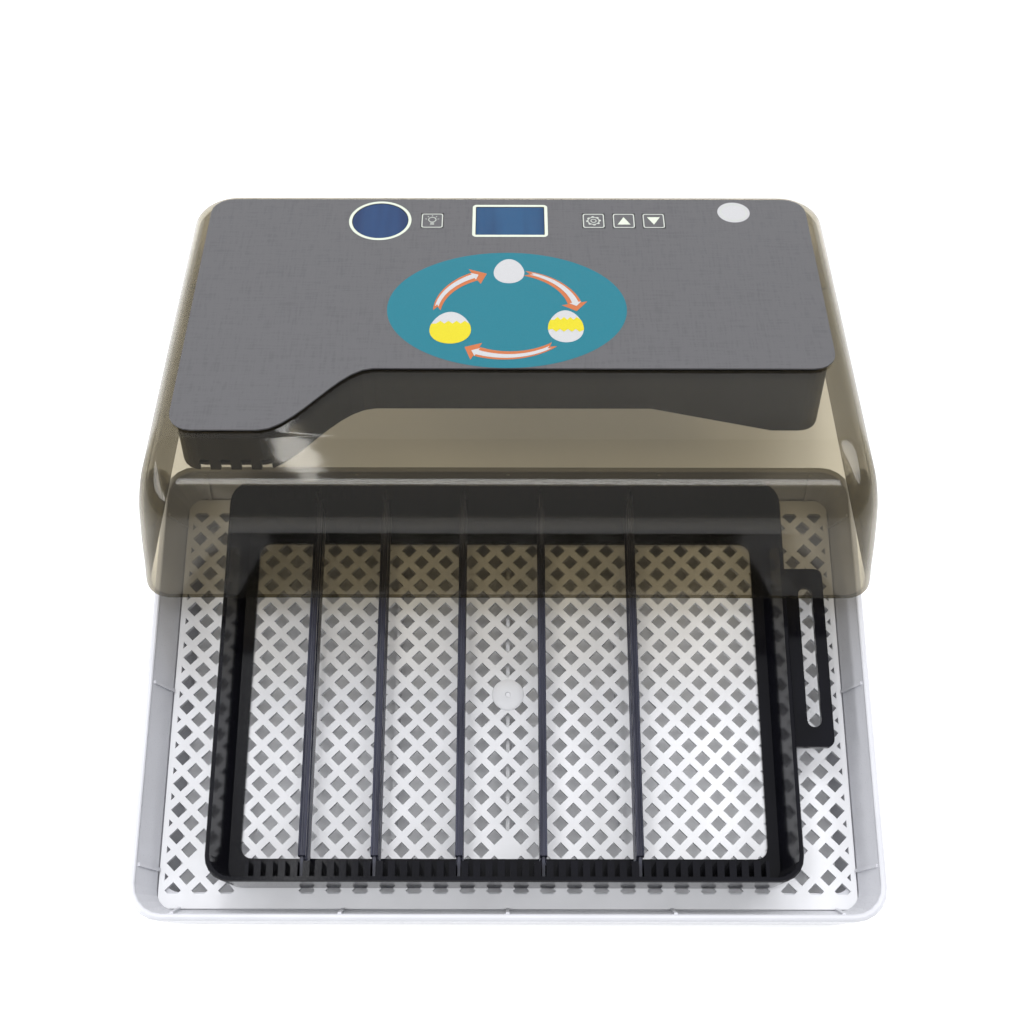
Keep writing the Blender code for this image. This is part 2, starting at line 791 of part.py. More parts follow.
def floor_profile(drop):
    """Height of the housing's underside along X: level, sloping down, then the pocket."""
    reach = 200 * MM
    return [
        (-reach, HOUSING_FLOOR - drop),
        (POCKET_SLOPE[0], HOUSING_FLOOR - drop),
        (POCKET_SLOPE[1], POCKET_FLOOR - drop),
        (reach, POCKET_FLOOR - drop),
    ]


def profile_block(name, upper, lower):
    """A block 300 mm deep between two lines that are drawn in X and Z."""
    outline = upper + lower[::-1]
    mesh = flat_outline(name, [outline], -150 * MM, 150 * MM)
    turn = Matrix.Translation((0, 130 * MM, 0)) @ Matrix.Rotation(pi / 2, 4, "X")
    mesh.transform(turn)
    return mesh


def make_control_housing():
    """The dark housing under the lid's top: a downward tub with a deeper right end."""
    outline = plate_outline(HOUSING_INSET)
    lowest = POCKET_FLOOR - 4 * MM

    def build(work):
        upper = [work.verts.new((x, y, HOUSING_TOP)) for x, y in outline]
        lower = [work.verts.new((x, y, lowest)) for x, y in outline]
        work.faces.new(upper)
        for k in range(len(outline)):
            n = (k + 1) % len(outline)
            work.faces.new((upper[k], lower[k], lower[n], upper[n]))

    mesh = mesh_from("control_housing", build)
    if max(mesh.polygons, key=lambda face: face.center.z).normal.z < 0:
        mesh.flip_normals()
    housing = add("control_housing", mesh, housing_plastic(), LID)
    wall = housing.modifiers.new("wall", "SOLIDIFY")
    wall.thickness = HOUSING_WALL
    wall.offset = -1
    wall.use_even_offset = True
    below = [(x, -20 * MM) for x, z in floor_profile(0)]
    block = profile_block("housing_slope", floor_profile(0), below)
    combine(housing, tool("housing_slope", block, LID), "DIFFERENCE")
    low, high = HOUSING_TOP - 6 * MM, LID_TOP

    def windows(work):
        cylinder_into(work, LED_X, CONTROL_Y, low, high, 13 * MM, 24)
        box_into(
            work,
            (DISPLAY_X - 17 * MM, CONTROL_Y - 11 * MM, low),
            (DISPLAY_X + 17 * MM, CONTROL_Y + 11 * MM, high),
        )
        for x in KEY_X:
            box_into(
                work,
                (x - 3.5 * MM, CONTROL_Y - 3.5 * MM, low),
                (x + 3.5 * MM, CONTROL_Y + 3.5 * MM, high),
            )

    top_holes = mesh_from("housing_windows", windows)
    combine(housing, tool("housing_windows", top_holes, LID), "DIFFERENCE")
    combine(housing, tool("front_vents", front_vents(), LID), "DIFFERENCE")
    combine(housing, tool("inlet_seat", inlet_box("inlet_seat", 0.5 * MM), LID), "DIFFERENCE")
    return housing


def front_vents():
    """Notches along the lower edge of the housing's front left wing."""
    found = []
    for k in range(4):
        x = (-153 + 10.4 * k) * MM
        found.append(
            ((x - 2.6 * MM, PLATE_WING_FRONT - 1 * MM, 40 * MM), (x + 2.6 * MM, 46 * MM, 59 * MM))
        )
    return boxes("front_vents", found)


def make_housing_cover():
    """The housing's underside: a thin plate that follows the slope to the pocket."""
    top = floor_profile(-COVER_THICK - 0.6 * MM)
    bottom = floor_profile(-0.6 * MM)
    mesh = profile_block("housing_cover", top, bottom)
    cover = add("housing_cover", mesh, housing_plastic(), LID)
    inside = plate_outline(HOUSING_INSET + HOUSING_WALL + 0.8 * MM)
    edge = flat_outline("cover_edge", [inside], 20 * MM, 90 * MM)
    combine(cover, tool("cover_edge", edge, LID), "INTERSECT")
    holes = [
        (*FAN_XY, 30 * MM, 70 * MM, FAN_BORE, 32),
        (*CRANK_XY, 20 * MM, 60 * MM, SHAFT_RADIUS + 2 * MM, 16),
    ]
    for x, y in cover_screw_places():
        holes.append((x, y, 20 * MM, 70 * MM, 1.9 * MM, 12))
    for x, y in heater_post_places():
        holes.append((x, y, 30 * MM, 70 * MM, 2.6 * MM, 12))
    holes.append((*probe_place(), 30 * MM, 70 * MM, 2.4 * MM, 12))
    combine(cover, tool("cover_holes", cylinders("cover_holes", holes), LID), "DIFFERENCE")
    return cover


def cover_screw_places():
    return (
        (-155 * MM, 60 * MM),
        (-155 * MM, 212 * MM),
        (60 * MM, 95 * MM),
        (60 * MM, 212 * MM),
        (156 * MM, 97 * MM),
        (156 * MM, 212 * MM),
    )


def heater_post_places():
    y = FAN_XY[1] - HEATER_RADIUS - 9 * MM
    return ((FAN_XY[0] - 8 * MM, y), (FAN_XY[0] + 8 * MM, y))


def probe_place():
    return (-105 * MM, 120 * MM)


def under_cover(x):
    """Height of the cover's underside at X."""
    start_x, end_x = POCKET_SLOPE
    t = min(max((x - start_x) / (end_x - start_x), 0), 1)
    return HOUSING_FLOOR + (POCKET_FLOOR - HOUSING_FLOOR) * t + 0.6 * MM


def make_screws():
    """Pan-head screws that hold the cover to the housing."""
    for number, (x, y) in enumerate(cover_screw_places(), 1):
        z = under_cover(x) - GAP
        turned(
            f"cover_screw_{number}",
            (
                (0, z + 9 * MM),
                (1.4 * MM, z + 8 * MM),
                (1.4 * MM, z),
                (3 * MM, z),
                (2.6 * MM, z - 1.8 * MM),
                (0, z - 2.1 * MM),
            ),
            steel(),
            LID,
            (x, y, 0),
            12,
        )


def make_windows():
    """The blue lamp window and the blue display window, flush with the plate."""
    low, high = PLATE_BOTTOM - LID_WALL, PLATE_BOTTOM + PLATE_THICK - 0.2 * MM
    lamp = cylinders("lamp_window", [(LED_X, CONTROL_Y, low, high, LED_RADIUS, 32)])
    add("lamp_window", lamp, blue_window(), LID, 40)
    outline = rounded_box(
        DISPLAY_X - DISPLAY_HALF[0],
        DISPLAY_X + DISPLAY_HALF[0],
        CONTROL_Y - DISPLAY_HALF[1],
        CONTROL_Y + DISPLAY_HALF[1],
        1 * MM,
        2,
    )
    add("display_window", flat_outline("display_window", [outline], low, high), blue_window(), LID)


def make_keys():
    """Four push keys: a square cap in the plate on a stem that reaches its switch."""
    for name, x in zip(KEY_NAMES, KEY_X):
        half_x, half_y = KEY_HALF
        cap = flat_outline(
            name, [rounded_box(-half_x, half_x, -half_y, half_y, 1.2 * MM, 2)], -2 * MM, 0
        )
        key = add(name, cap, label_film(), LID)
        key.location = (x, CONTROL_Y, KEY_TOP)
        stem_low = KEY_STEM_BOTTOM - KEY_TOP
        stem = boxes(
            f"{name}_stem",
            [((-2.6 * MM, -2.6 * MM, stem_low), (2.6 * MM, 2.6 * MM, -1 * MM))],
        )
        post = tool(f"{name}_stem", stem, LID)
        post.location = key.location
        combine(key, post, "UNION")


def make_electronics():
    """Boards, display, lamp and power supply inside the housing."""
    board_z = 65 * MM
    corners = ((-55 * MM, 184 * MM, board_z), (98 * MM, 219 * MM, board_z + 1.6 * MM))
    board = boxes("control_board", [corners])
    add("control_board", board, circuit_board(), LID)
    for name, x in zip(KEY_NAMES, KEY_X):
        switch = boxes(
            f"{name}_switch",
            [
                (
                    (x - 3 * MM, CONTROL_Y - 3 * MM, board_z + 1.9 * MM),
                    (x + 3 * MM, CONTROL_Y + 3 * MM, KEY_STEM_BOTTOM - 1 * MM),
                )
            ],
        )
        add(name.replace("key", "switch"), switch, black_plastic(), LID)
    display = boxes(
        "display_module",
        [
            (
                (DISPLAY_X - 16 * MM, CONTROL_Y - 10 * MM, board_z + 1.9 * MM),
                (DISPLAY_X + 16 * MM, CONTROL_Y + 10 * MM, HOUSING_TOP - 1.5 * MM),
            )
        ],
    )
    add("display_module", display, black_plastic(), LID)
    turned(
        "candling_lamp",
        (
            (0, HOUSING_TOP - 4 * MM),
            (2 * MM, HOUSING_TOP - 4.6 * MM),
            (3 * MM, HOUSING_TOP - 7 * MM),
            (3 * MM, 60 * MM),
            (0, 60 * MM),
        ),
        material("lamp_clear", (0.8, 0.85, 0.9), 0.1),
        LID,
        (LED_X, CONTROL_Y, 0),
        16,
    )
    turned(
        "lamp_reflector",
        (
            (11 * MM, HOUSING_TOP - 2.6 * MM),
            (12 * MM, HOUSING_TOP - 2.6 * MM),
            (5.4 * MM, 62 * MM),
            (4.2 * MM, 62 * MM),
        ),
        material("reflector", (0.75, 0.75, 0.75), 0.15, 1.0),
        LID,
        (LED_X, CONTROL_Y, 0),
        20,
        closed=True,
    )
    power = boxes("power_board", [((92 * MM, 163 * MM, 56 * MM), (150 * MM, 181 * MM, 57.6 * MM))])
    add("power_board", power, circuit_board(), LID)
    coil = boxes("transformer", [((98 * MM, 165 * MM, 57.9 * MM), (118 * MM, 179 * MM, 72 * MM))])
    add("transformer", coil, material("transformer", (0.35, 0.3, 0.05), 0.5), LID)


def make_fan():
    """An axial fan that draws air past the heater: frame, rotor, and a wire guard."""
    x, y = FAN_XY
    low, high = FAN_BOTTOM, FAN_BOTTOM + FAN_HEIGHT
    outline = rounded_box(x - FAN_HALF, x + FAN_HALF, y - FAN_HALF, y + FAN_HALF, 4 * MM, 3)
    frame = add("fan_frame", flat_outline("fan_frame", [outline], low, high), black_plastic(), LID)
    bore = cylinders("fan_bore", [(x, y, low - 5 * MM, high + 5 * MM, FAN_BORE, 32)])
    combine(frame, tool("fan_bore", bore, LID), "DIFFERENCE")

    hub = cylinders("fan_hub", [(x, y, high - 2.4 * MM, high, 11 * MM, 20)])
    combine(frame, tool("fan_hub", hub, LID), "UNION")
    for k in range(3):
        turn = Matrix.Translation((x, y, 0)) @ Matrix.Rotation(2 * pi * k / 3 + 0.4, 4, "Z")
        stretch = Matrix.Translation((18 * MM, 0, high - 1.1 * MM))
        size = Matrix.Diagonal((22 * MM, 3 * MM, 2 * MM, 1))
        spoke = tool(f"fan_spoke_{k}", turned_box(f"fan_spoke_{k}", turn @ stretch @ size), LID)
        combine(frame, spoke, "UNION")
    rotor = cylinders("fan_rotor", [(0, 0, -5 * MM, 5 * MM, 10 * MM, 24)])
    wheel = add("fan_rotor", rotor, black_plastic(), LID, 40)
    wheel.location = (x, y, low + 6.4 * MM)
    for k in range(FAN_BLADES):
        a = 2 * pi * k / FAN_BLADES
        turn = Matrix.Rotation(a, 4, "Z") @ Matrix.Translation((17.2 * MM, 0, 0))
        pitch = Matrix.Rotation(radians(35), 4, "X")
        size = Matrix.Diagonal((16.4 * MM, 12.5 * MM, 1.2 * MM, 1))
        fin = tool(f"fan_blade_{k}", turned_box(f"fan_blade_{k}", turn @ pitch @ size), LID)
        fin.location = wheel.location
        combine(wheel, fin, "UNION")


def make_fan_guard():
    """A round grille under the fan: three rings on a cross, set in the cover's opening."""
    x, y = FAN_XY
    low, high = under_cover(x) - 2.4 * MM, under_cover(x) - GAP
    bars = []
    for radius, width in ((29.5 * MM, 2.4 * MM), (20 * MM, 1.8 * MM), (10 * MM, 1.8 * MM)):
        edges = [ring(x, y, radius + width / 2), ring(x, y, radius - width / 2)]
        bars.append(edges)
    mesh = flat_outline("fan_guard", bars[0], low, high)
    guard = add("fan_guard", mesh, steel(), LID)
    for n, edges in enumerate(bars[1:]):
        inner = tool(f"guard_ring_{n}", flat_outline(f"guard_ring_{n}", edges, low, high), LID)
        combine(guard, inner, "UNION")
    cross = boxes(
        "guard_bar_x",
        [((x - 29 * MM, y - 1 * MM, low + 0.2 * MM), (x + 29 * MM, y + 1 * MM, high - 0.2 * MM))],
    )
    combine(guard, tool("guard_bar_x", cross, LID), "UNION")
    along = boxes(
        "guard_bar_y",
        [((x - 1 * MM, y - 29 * MM, low + 0.3 * MM), (x + 1 * MM, y + 29 * MM, high - 0.3 * MM))],
    )
    combine(guard, tool("guard_bar_y", along, LID), "UNION")


def ring(x, y, radius, sides=24):
    return [
        (x + radius * cos(2 * pi * k / sides), y + radius * sin(2 * pi * k / sides))
        for k in range(sides)
    ]


def make_heater():
    """A rod element bent round the fan's opening, on two ceramic posts."""
    places = heater_post_places()
    start_angle, end_angle = -78, 258
    bend = arc_points(FAN_XY, HEATER_RADIUS, start_angle, end_angle, 28, HEATER_Z)
    right = [(places[1][0], places[1][1], HEATER_Z)]
    left = [(places[0][0], places[0][1], HEATER_Z)]
    rise_z = HOUSING_FLOOR + 8 * MM
    up_right = [(places[1][0], places[1][1], rise_z)]
    up_left = [(places[0][0], places[0][1], rise_z)]
    route = up_right + right + bend + left + up_left
    tube("heater_element", route, HEATER_ROD / 2, steel(), LID)


def make_probe():
    """The temperature sensor, which hangs from the cover, and its lead."""
    x, y = probe_place()
    turned(
        "temperature_probe",
        (
            (0, 50 * MM),
            (1.5 * MM, 50 * MM),
            (3 * MM, 46 * MM),
            (3 * MM, 24 * MM),
            (1.6 * MM, 22 * MM),
            (0, 21.6 * MM),
        ),
        steel(),
        LID,
        (x, y, 0),
        16,
    )
    route = [(x, y, 50.5 * MM), (x, y, 60 * MM), (x + 5 * MM, y + 8 * MM, 64 * MM)]
    for k in range(1, 7):
        t = k / 6
        route.append((x + 5 * MM + 42 * MM * t, y + 8 * MM + 54 * MM * t, 64 * MM))
    route.append((-57 * MM, 192 * MM, 64 * MM))
    tube("probe_lead", route, 1.1 * MM, wire_jacket(), LID)


def make_turner():
    """The slow motor in the pocket, its output shaft, and the crank that moves the tray."""
    x, y = MOTOR_XY
    case = cylinders("turner_motor", [(x, y, MOTOR_BOTTOM, MOTOR_BOTTOM + 5 * MM, MOTOR_RADIUS, 32)])
    top = cylinders(
        "motor_cap",
        [(x, y, MOTOR_BOTTOM + 4 * MM, MOTOR_BOTTOM + 16 * MM, MOTOR_RADIUS - 1 * MM, 32)],
    )
    motor = add("turner_motor", case, steel(), LID, 40)
    combine(motor, tool("motor_cap", top, LID), "UNION")
    crank_x, crank_y = CRANK_XY
    disc_top = CRANK_DISC_Z + 3.4 * MM
    turned(
        "turner_shaft",
        (
            (0, MOTOR_BOTTOM - GAP),
            (SHAFT_RADIUS, MOTOR_BOTTOM - GAP),
            (SHAFT_RADIUS, disc_top + GAP),
            (0, disc_top + GAP),
        ),
        steel(),
        LID,
        (crank_x, crank_y, 0),
        16,
    )
    turned(
        "crank_disc",
        (
            (0, disc_top),
            (CRANK_DISC_RADIUS - 0.6 * MM, disc_top),
            (CRANK_DISC_RADIUS, disc_top - 0.6 * MM),
            (CRANK_DISC_RADIUS, CRANK_DISC_Z),
            (0, CRANK_DISC_Z),
        ),
        black_plastic(),
        LID,
        (crank_x, crank_y, 0),
        28,
    )
    turned(
        "crank_pin",
        (
            (0, CRANK_DISC_Z - GAP),
            (PIN_RADIUS, CRANK_DISC_Z - GAP),
            (PIN_RADIUS, PIN_BOTTOM + 1 * MM),
            (PIN_RADIUS - 1 * MM, PIN_BOTTOM),
            (0, PIN_BOTTOM),
        ),
        steel(),
        LID,
        (crank_x + CRANK_THROW, crank_y, 0),
        16,
    )


def inlet_box(name, margin):
    """The space of the power inlet through the rear wall."""
    half_x, half_z = INLET_HALF_X + margin, INLET_HALF_Z + margin
    return boxes(
        name,
        [
            (
                (INLET_X - half_x, 205 * MM, INLET_Z - half_z),
                (INLET_X + half_x, 250 * MM, INLET_Z + half_z),
            )
        ],
    )


def make_power_inlet():
    """The two-pin appliance inlet in the rear wall, with its open socket and pins."""
    x, z = INLET_X, INLET_Z
    half_x, half_z = INLET_HALF_X, INLET_HALF_Z
    body = boxes(
        "power_inlet",
        [((x - half_x, 206 * MM, z - half_z), (x + half_x, INLET_REAR, z + half_z))],
    )
    inlet = add("power_inlet", body, black_plastic(), LID)
    socket = boxes(
        "inlet_socket",
        [((x - 9 * MM, 224 * MM, z - 5 * MM), (x + 9 * MM, 246 * MM, z + 5 * MM))],
    )
    combine(inlet, tool("inlet_socket", socket, LID), "DIFFERENCE")
    for side in (-1, 1):
        pin = boxes(
            f"inlet_pin_{side}",
            [
                (
                    (x + side * 4.3 * MM - 1.2 * MM, 223 * MM, z - 1.2 * MM),
                    (x + side * 4.3 * MM + 1.2 * MM, 236 * MM, z + 1.2 * MM),
                )
            ],
        )
        combine(inlet, tool(f"inlet_pin_{side}", pin, LID), "UNION")


def make_wiring():
    """Leads between the boards, the fan and the motor."""
    fan_x, fan_y = FAN_XY
    motor_x, motor_y = MOTOR_XY
    motor_lead = (
        (motor_x - 24 * MM, motor_y, 60 * MM),
        (motor_x - 30 * MM, motor_y + 4 * MM, 61 * MM),
        (104 * MM, 150 * MM, 61 * MM),
        (100 * MM, 160 * MM, 60 * MM),
        (99 * MM, 162 * MM, 60 * MM),
    )
    supply_lead = (
        (96 * MM, 182 * MM, 60 * MM),
        (94 * MM, 186 * MM, 60.5 * MM),
        (90 * MM, 192 * MM, 61 * MM),
        (84 * MM, 200 * MM, 62 * MM),
    )
    fan_lead = (
        (fan_x + 32 * MM, fan_y, 62 * MM),
        (12 * MM, 156 * MM, 62 * MM),
        (20 * MM, 170 * MM, 62 * MM),
        (24 * MM, 180 * MM, 62 * MM),
        (26 * MM, 190 * MM, 62 * MM),
    )
    tube("motor_lead", motor_lead, 1.2 * MM, wire_jacket(), LID)
    tube("supply_lead", supply_lead, 1.2 * MM, wire_jacket(), LID)
    tube("fan_lead", fan_lead, 1.1 * MM, wire_jacket(), LID)


make_base_tub()
make_feet()
make_floor_grid()
make_egg_tray()
make_dividers()
make_lid_shell()
make_label_plate()
make_control_housing()
make_housing_cover()
make_screws()
make_windows()
make_keys()
make_electronics()
make_fan()
make_fan_guard()
make_heater()
make_probe()
make_turner()
make_power_inlet()
make_wiring()
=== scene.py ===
import json
from math import cos, pi, radians, sin, sqrt

import bmesh
import bpy
import numpy as np
from mathutils import Matrix, Vector


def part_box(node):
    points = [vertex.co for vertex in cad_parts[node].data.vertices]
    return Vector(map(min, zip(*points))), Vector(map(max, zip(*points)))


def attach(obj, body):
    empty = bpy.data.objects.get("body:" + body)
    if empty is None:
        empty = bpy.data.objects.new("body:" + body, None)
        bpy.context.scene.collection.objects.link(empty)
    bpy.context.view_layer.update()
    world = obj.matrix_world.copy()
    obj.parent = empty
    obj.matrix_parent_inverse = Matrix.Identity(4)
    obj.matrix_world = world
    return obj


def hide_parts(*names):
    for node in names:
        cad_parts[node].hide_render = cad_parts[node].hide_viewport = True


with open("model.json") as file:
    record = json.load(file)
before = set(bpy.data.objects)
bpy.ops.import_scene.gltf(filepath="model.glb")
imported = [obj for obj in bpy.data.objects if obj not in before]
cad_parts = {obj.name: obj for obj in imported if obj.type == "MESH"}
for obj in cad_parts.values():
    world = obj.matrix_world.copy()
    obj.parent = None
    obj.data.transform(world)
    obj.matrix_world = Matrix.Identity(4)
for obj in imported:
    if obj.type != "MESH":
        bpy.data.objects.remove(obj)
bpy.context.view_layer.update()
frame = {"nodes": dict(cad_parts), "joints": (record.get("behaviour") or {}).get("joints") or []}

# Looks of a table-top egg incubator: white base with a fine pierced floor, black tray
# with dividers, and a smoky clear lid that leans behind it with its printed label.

MM = 0.001
NODES = frame["nodes"]


# ---------------------------------------------------------------- node materials


class Surface:
    """A Principled material with helpers for the textures that feed it."""

    def __init__(self, name, roughness=0.4, metallic=0.0, specular=0.5):
        self.material = bpy.data.materials.new(name)
        self.material.use_nodes = True
        self.tree = self.material.node_tree
        self.shader = self.tree.nodes["Principled BSDF"]
        self.shader.inputs["Roughness"].default_value = roughness
        self.shader.inputs["Metallic"].default_value = metallic
        self.shader.inputs["Specular IOR Level"].default_value = specular
        self.place = self.tree.nodes.new("ShaderNodeTexCoord").outputs["Object"]

    def node(self, kind, **inputs):
        made = self.tree.nodes.new(kind)
        for key, value in inputs.items():
            socket = made.inputs[key.replace("_", " ")]
            if isinstance(value, bpy.types.NodeSocket):
                self.tree.links.new(value, socket)
            else:
                socket.default_value = value
        return made

    def noise(self, scale, detail=2.0, stretch=None):
        """Noise over the object, in cycles per metre; stretch gives each axis its own scale."""
        place = self.place
        if stretch is not None:
            mapping = self.node("ShaderNodeMapping", Vector=place)
            mapping.inputs["Scale"].default_value = stretch
            place = mapping.outputs["Vector"]
        made = self.node("ShaderNodeTexNoise", Vector=place, Scale=scale, Detail=detail)
        return made.outputs["Fac"]

    def ramp(self, factor, low, high, start=0.3, end=0.7):
        made = self.node("ShaderNodeValToRGB", Fac=factor)
        made.color_ramp.elements[0].position = start
        made.color_ramp.elements[0].color = (*low, 1)
        made.color_ramp.elements[1].position = end
        made.color_ramp.elements[1].color = (*high, 1)
        return made.outputs["Color"]

    def range(self, value, low, high, start=0.3, end=0.7):
        made = self.node("ShaderNodeMapRange", Value=value)
        for key, number in (("From Min", start), ("From Max", end), ("To Min", low), ("To Max", high)):
            made.inputs[key].default_value = number
        return made.outputs["Result"]

    def feed(self, key, socket):
        self.tree.links.new(socket, self.shader.inputs[key])

    def bump(self, height, depth, strength=0.4):
        made = self.node("ShaderNodeBump", Height=height, Strength=strength, Distance=depth)
        self.feed("Normal", made.outputs["Normal"])


def shade(color, factor):
    return tuple(min(1.0, channel * factor) for channel in color)


def moulded(name, color, rough, spread=0.05, grain=900, depth=0.03 * MM, soft=45, specular=0.5):
    """Moulded plastic: soft mottling, a fine spark-eroded grain and uneven gloss."""
    made = Surface(name, specular=specular)
    soft_noise = made.noise(soft, 3)
    made.feed("Base Color", made.ramp(soft_noise, shade(color, 1 - spread), shade(color, 1 + spread)))
    fine = made.noise(grain, 2)
    made.feed("Roughness", made.range(fine, rough[0], rough[1]))
    made.bump(fine, depth)
    return made


# The base tub's white is darker than the floor's white, though both are one plastic: painted shade for the
# tub's walls and lip.
def white_body_painted_shade():
    return moulded("white_moulded_painted_shade", (0.50, 0.505, 0.54), (0.26, 0.38), 0.03, 1400, 0.02 * MM).material


# The pan under the floor gets a far lighter white than the rest of the base, which is the same plastic:
# painted light, so the shaded pan seen through the floor's holes looks bright.
def pan_white():
    return moulded("pan_moulded", (0.86, 0.865, 0.88), (0.4, 0.6), 0.03, 900, 0.02 * MM).material


def floor_white():
    return moulded("floor_moulded", (0.66, 0.665, 0.69), (0.3, 0.5), 0.06, 700, 0.04 * MM, 30).material


def black_body():
    dark = (0.003, 0.003, 0.005)
    return moulded("black_moulded", dark, (0.10, 0.18), 0.25, 1200, 0.004 * MM, specular=0.2).material


def divider_body():
    """Blue-black plastic with long drawn streaks from the mould."""
    made = Surface("divider_moulded", specular=0.45)
    streaks = made.noise(220, 2, (1, 0.06, 1))
    made.feed("Base Color", made.ramp(streaks, (0.012, 0.013, 0.024), (0.03, 0.032, 0.055)))
    made.feed("Roughness", made.range(streaks, 0.24, 0.4))
    made.bump(streaks, 0.05 * MM)
    return made.material


def housing_body():
    """Charcoal plastic with fine upright draw lines."""
    made = Surface("housing_moulded")
    lines = made.noise(260, 2, (1, 0.3, 0.08))
    made.feed("Base Color", made.ramp(lines, (0.014, 0.013, 0.013), (0.024, 0.022, 0.021)))
    made.feed("Roughness", made.range(made.noise(900), 0.3, 0.48))
    made.bump(lines, 0.06 * MM)
    return made.material


def film():
    """Grey printed label film with a faint brushed weave."""
    made = Surface("label_film", specular=0.25)
    long_way = made.noise(900, 3, (0.08, 1, 1))
    cross_way = made.noise(900, 3, (1, 0.08, 0.08))
    both = made.node("ShaderNodeMath", Value=long_way)
    both.operation = "ADD"
    made.tree.links.new(cross_way, both.inputs[1])
    weave = both.outputs["Value"]
    made.feed("Base Color", made.ramp(weave, (0.066, 0.065, 0.070), (0.077, 0.076, 0.081), 0.75, 1.25))
    made.feed("Roughness", made.range(made.noise(1500), 0.36, 0.5))
    made.bump(weave, 0.006 * MM, 0.2)
    return made.material


def ink(name, color, rough=(0.35, 0.5)):
    """Printing ink: small dots of uneven cover."""
    made = Surface(name, specular=0.25)
    made.feed("Base Color", made.ramp(made.noise(2600, 1), shade(color, 0.93), shade(color, 1.05)))
    made.feed("Roughness", made.range(made.noise(1500), *rough))
    return made.material


def window(name, low, high):
    """A tinted window with faint upright bands behind it."""
    made = Surface(name, specular=0.3)
    bands = made.noise(70, 2, (1, 0.1, 0.1))
    made.feed("Base Color", made.ramp(bands, low, high, 0.35, 0.65))
    made.feed("Roughness", made.range(made.noise(600), 0.12, 0.22))
    return made.material


def smoky(name, tint, edge, haze):
    """Clear tinted plastic that filters what is behind it, more so where it is seen edge on.

    Its gloss is a strong reflector mixed in by a small share. The share comes from how far the
    face turns away, which is the same on both sides of the wall.
    """
    made = Surface(name)
    made.shader.inputs["IOR"].default_value = 8
    made.feed("Base Color", made.ramp(made.noise(30), shade(haze, 0.9), shade(haze, 1.1)))
    made.feed("Roughness", made.range(made.noise(60), 0.04, 0.07))
    facing = made.node("ShaderNodeLayerWeight", Blend=0.5).outputs["Facing"]
    colour = made.ramp(facing, tint, edge, 0.35, 0.95)
    clear = made.node("ShaderNodeBsdfTransparent", Color=colour)
    gloss = made.node("ShaderNodeMath", Value=facing)
    gloss.operation = "POWER"
    gloss.inputs[1].default_value = 4.0
    share = made.range(gloss.outputs["Value"], 0.035, 0.9, 0.0, 1.0)
    mix = made.node("ShaderNodeMixShader", Fac=share)
    made.tree.links.new(clear.outputs["BSDF"], mix.inputs[1])
    made.tree.links.new(made.shader.outputs["BSDF"], mix.inputs[2])
    output = made.tree.nodes["Material Output"]
    made.tree.links.new(mix.outputs["Shader"], output.inputs["Surface"])
    return made.material


def metal(name, color, rough, stretch=(1, 1, 0.05)):
    made = Surface(name, metallic=1.0)
    lines = made.noise(900, 2, stretch)
    made.feed("Base Color", made.ramp(lines, shade(color, 0.85), color))
    made.feed("Roughness", made.range(lines, rough[0], rough[1]))
    return made.material


def board():
    """Green circuit board: copper lanes under the solder mask."""
    made = Surface("circuit_board", specular=0.6)
    cells = made.node("ShaderNodeTexVoronoi", Vector=made.place, Scale=260.0)
    cells.distance = "MANHATTAN"
    lanes = cells.outputs["Distance"]
    made.feed("Base Color", made.ramp(lanes, (0.02, 0.16, 0.06), (0.008, 0.07, 0.03), 0.2, 0.5))
    made.feed("Roughness", made.range(made.noise(700), 0.25, 0.45))
    made.bump(lanes, 0.03 * MM)
    return made.material


def wound():
    """Yellow tape wound over a coil."""
    made = Surface("wound_tape", specular=0.5)
    bands = made.noise(700, 1, (0.05, 0.05, 1))
    made.feed("Base Color", made.ramp(bands, (0.42, 0.34, 0.04), (0.62, 0.52, 0.10)))
    made.feed("Roughness", made.range(bands, 0.3, 0.5))
    made.bump(bands, 0.1 * MM)
    return made.material


def rubber():
    return moulded("foot_rubber", (0.022, 0.022, 0.022), (0.7, 0.9), 0.2, 900, 0.06 * MM).material


def paper(name, color, rough):
    made = Surface(name, specular=0.3)
    made.feed("Base Color", made.ramp(made.noise(4, 2), shade(color, 0.995), color))
    made.feed("Roughness", made.range(made.noise(300), *rough))
    return made.material


LOOKS = {
    "white": white_body_painted_shade(),
    "pan": pan_white(),
    "floor": floor_white(),
    "black": black_body(),
    "divider": divider_body(),
    "housing": housing_body(),
    "film": film(),
    "smoky": smoky("smoky_clear", (0.65, 0.615, 0.53), (0.46, 0.43, 0.35), (0.12, 0.115, 0.10)),
    "smoky_edge": smoky("smoky_edge", (0.30, 0.27, 0.20), (0.15, 0.13, 0.09), (0.10, 0.09, 0.06)),
    "window": window("window_blue", (0.003, 0.024, 0.075), (0.006, 0.046, 0.115)),
    "lens": window("lens_blue", (0.002, 0.014, 0.058), (0.005, 0.032, 0.10)),
    "teal": ink("ink_teal", (0.006, 0.113, 0.152)),
    "white_ink": ink("ink_white", (0.36, 0.36, 0.37)),
    "pale_ink": ink("ink_pale", (0.46, 0.50, 0.42)),
    "line_ink": ink("ink_line", (0.36, 0.38, 0.35)),
    "orange": ink("ink_orange", (0.34, 0.10, 0.035)),
    "yellow": ink("ink_yellow", (0.44, 0.38, 0.010)),
    "steel": metal("bright_steel", (0.62, 0.62, 0.64), (0.18, 0.34)),
    "heater": metal("heater_sheath", (0.42, 0.38, 0.34), (0.3, 0.5)),
    "mirror": metal("reflector_metal", (0.85, 0.85, 0.86), (0.06, 0.16)),
    "board": board(),
    "tape": wound(),
    "wire": moulded("wire_red", (0.32, 0.02, 0.02), (0.35, 0.5), 0.15, 500, 0.05 * MM).material,
    "rubber": rubber(),
    "lamp": moulded("lamp_lens", (0.82, 0.86, 0.92), (0.08, 0.2), 0.05, 500, 0.02 * MM, 90).material,
}


# ---------------------------------------------------------------- mesh helpers


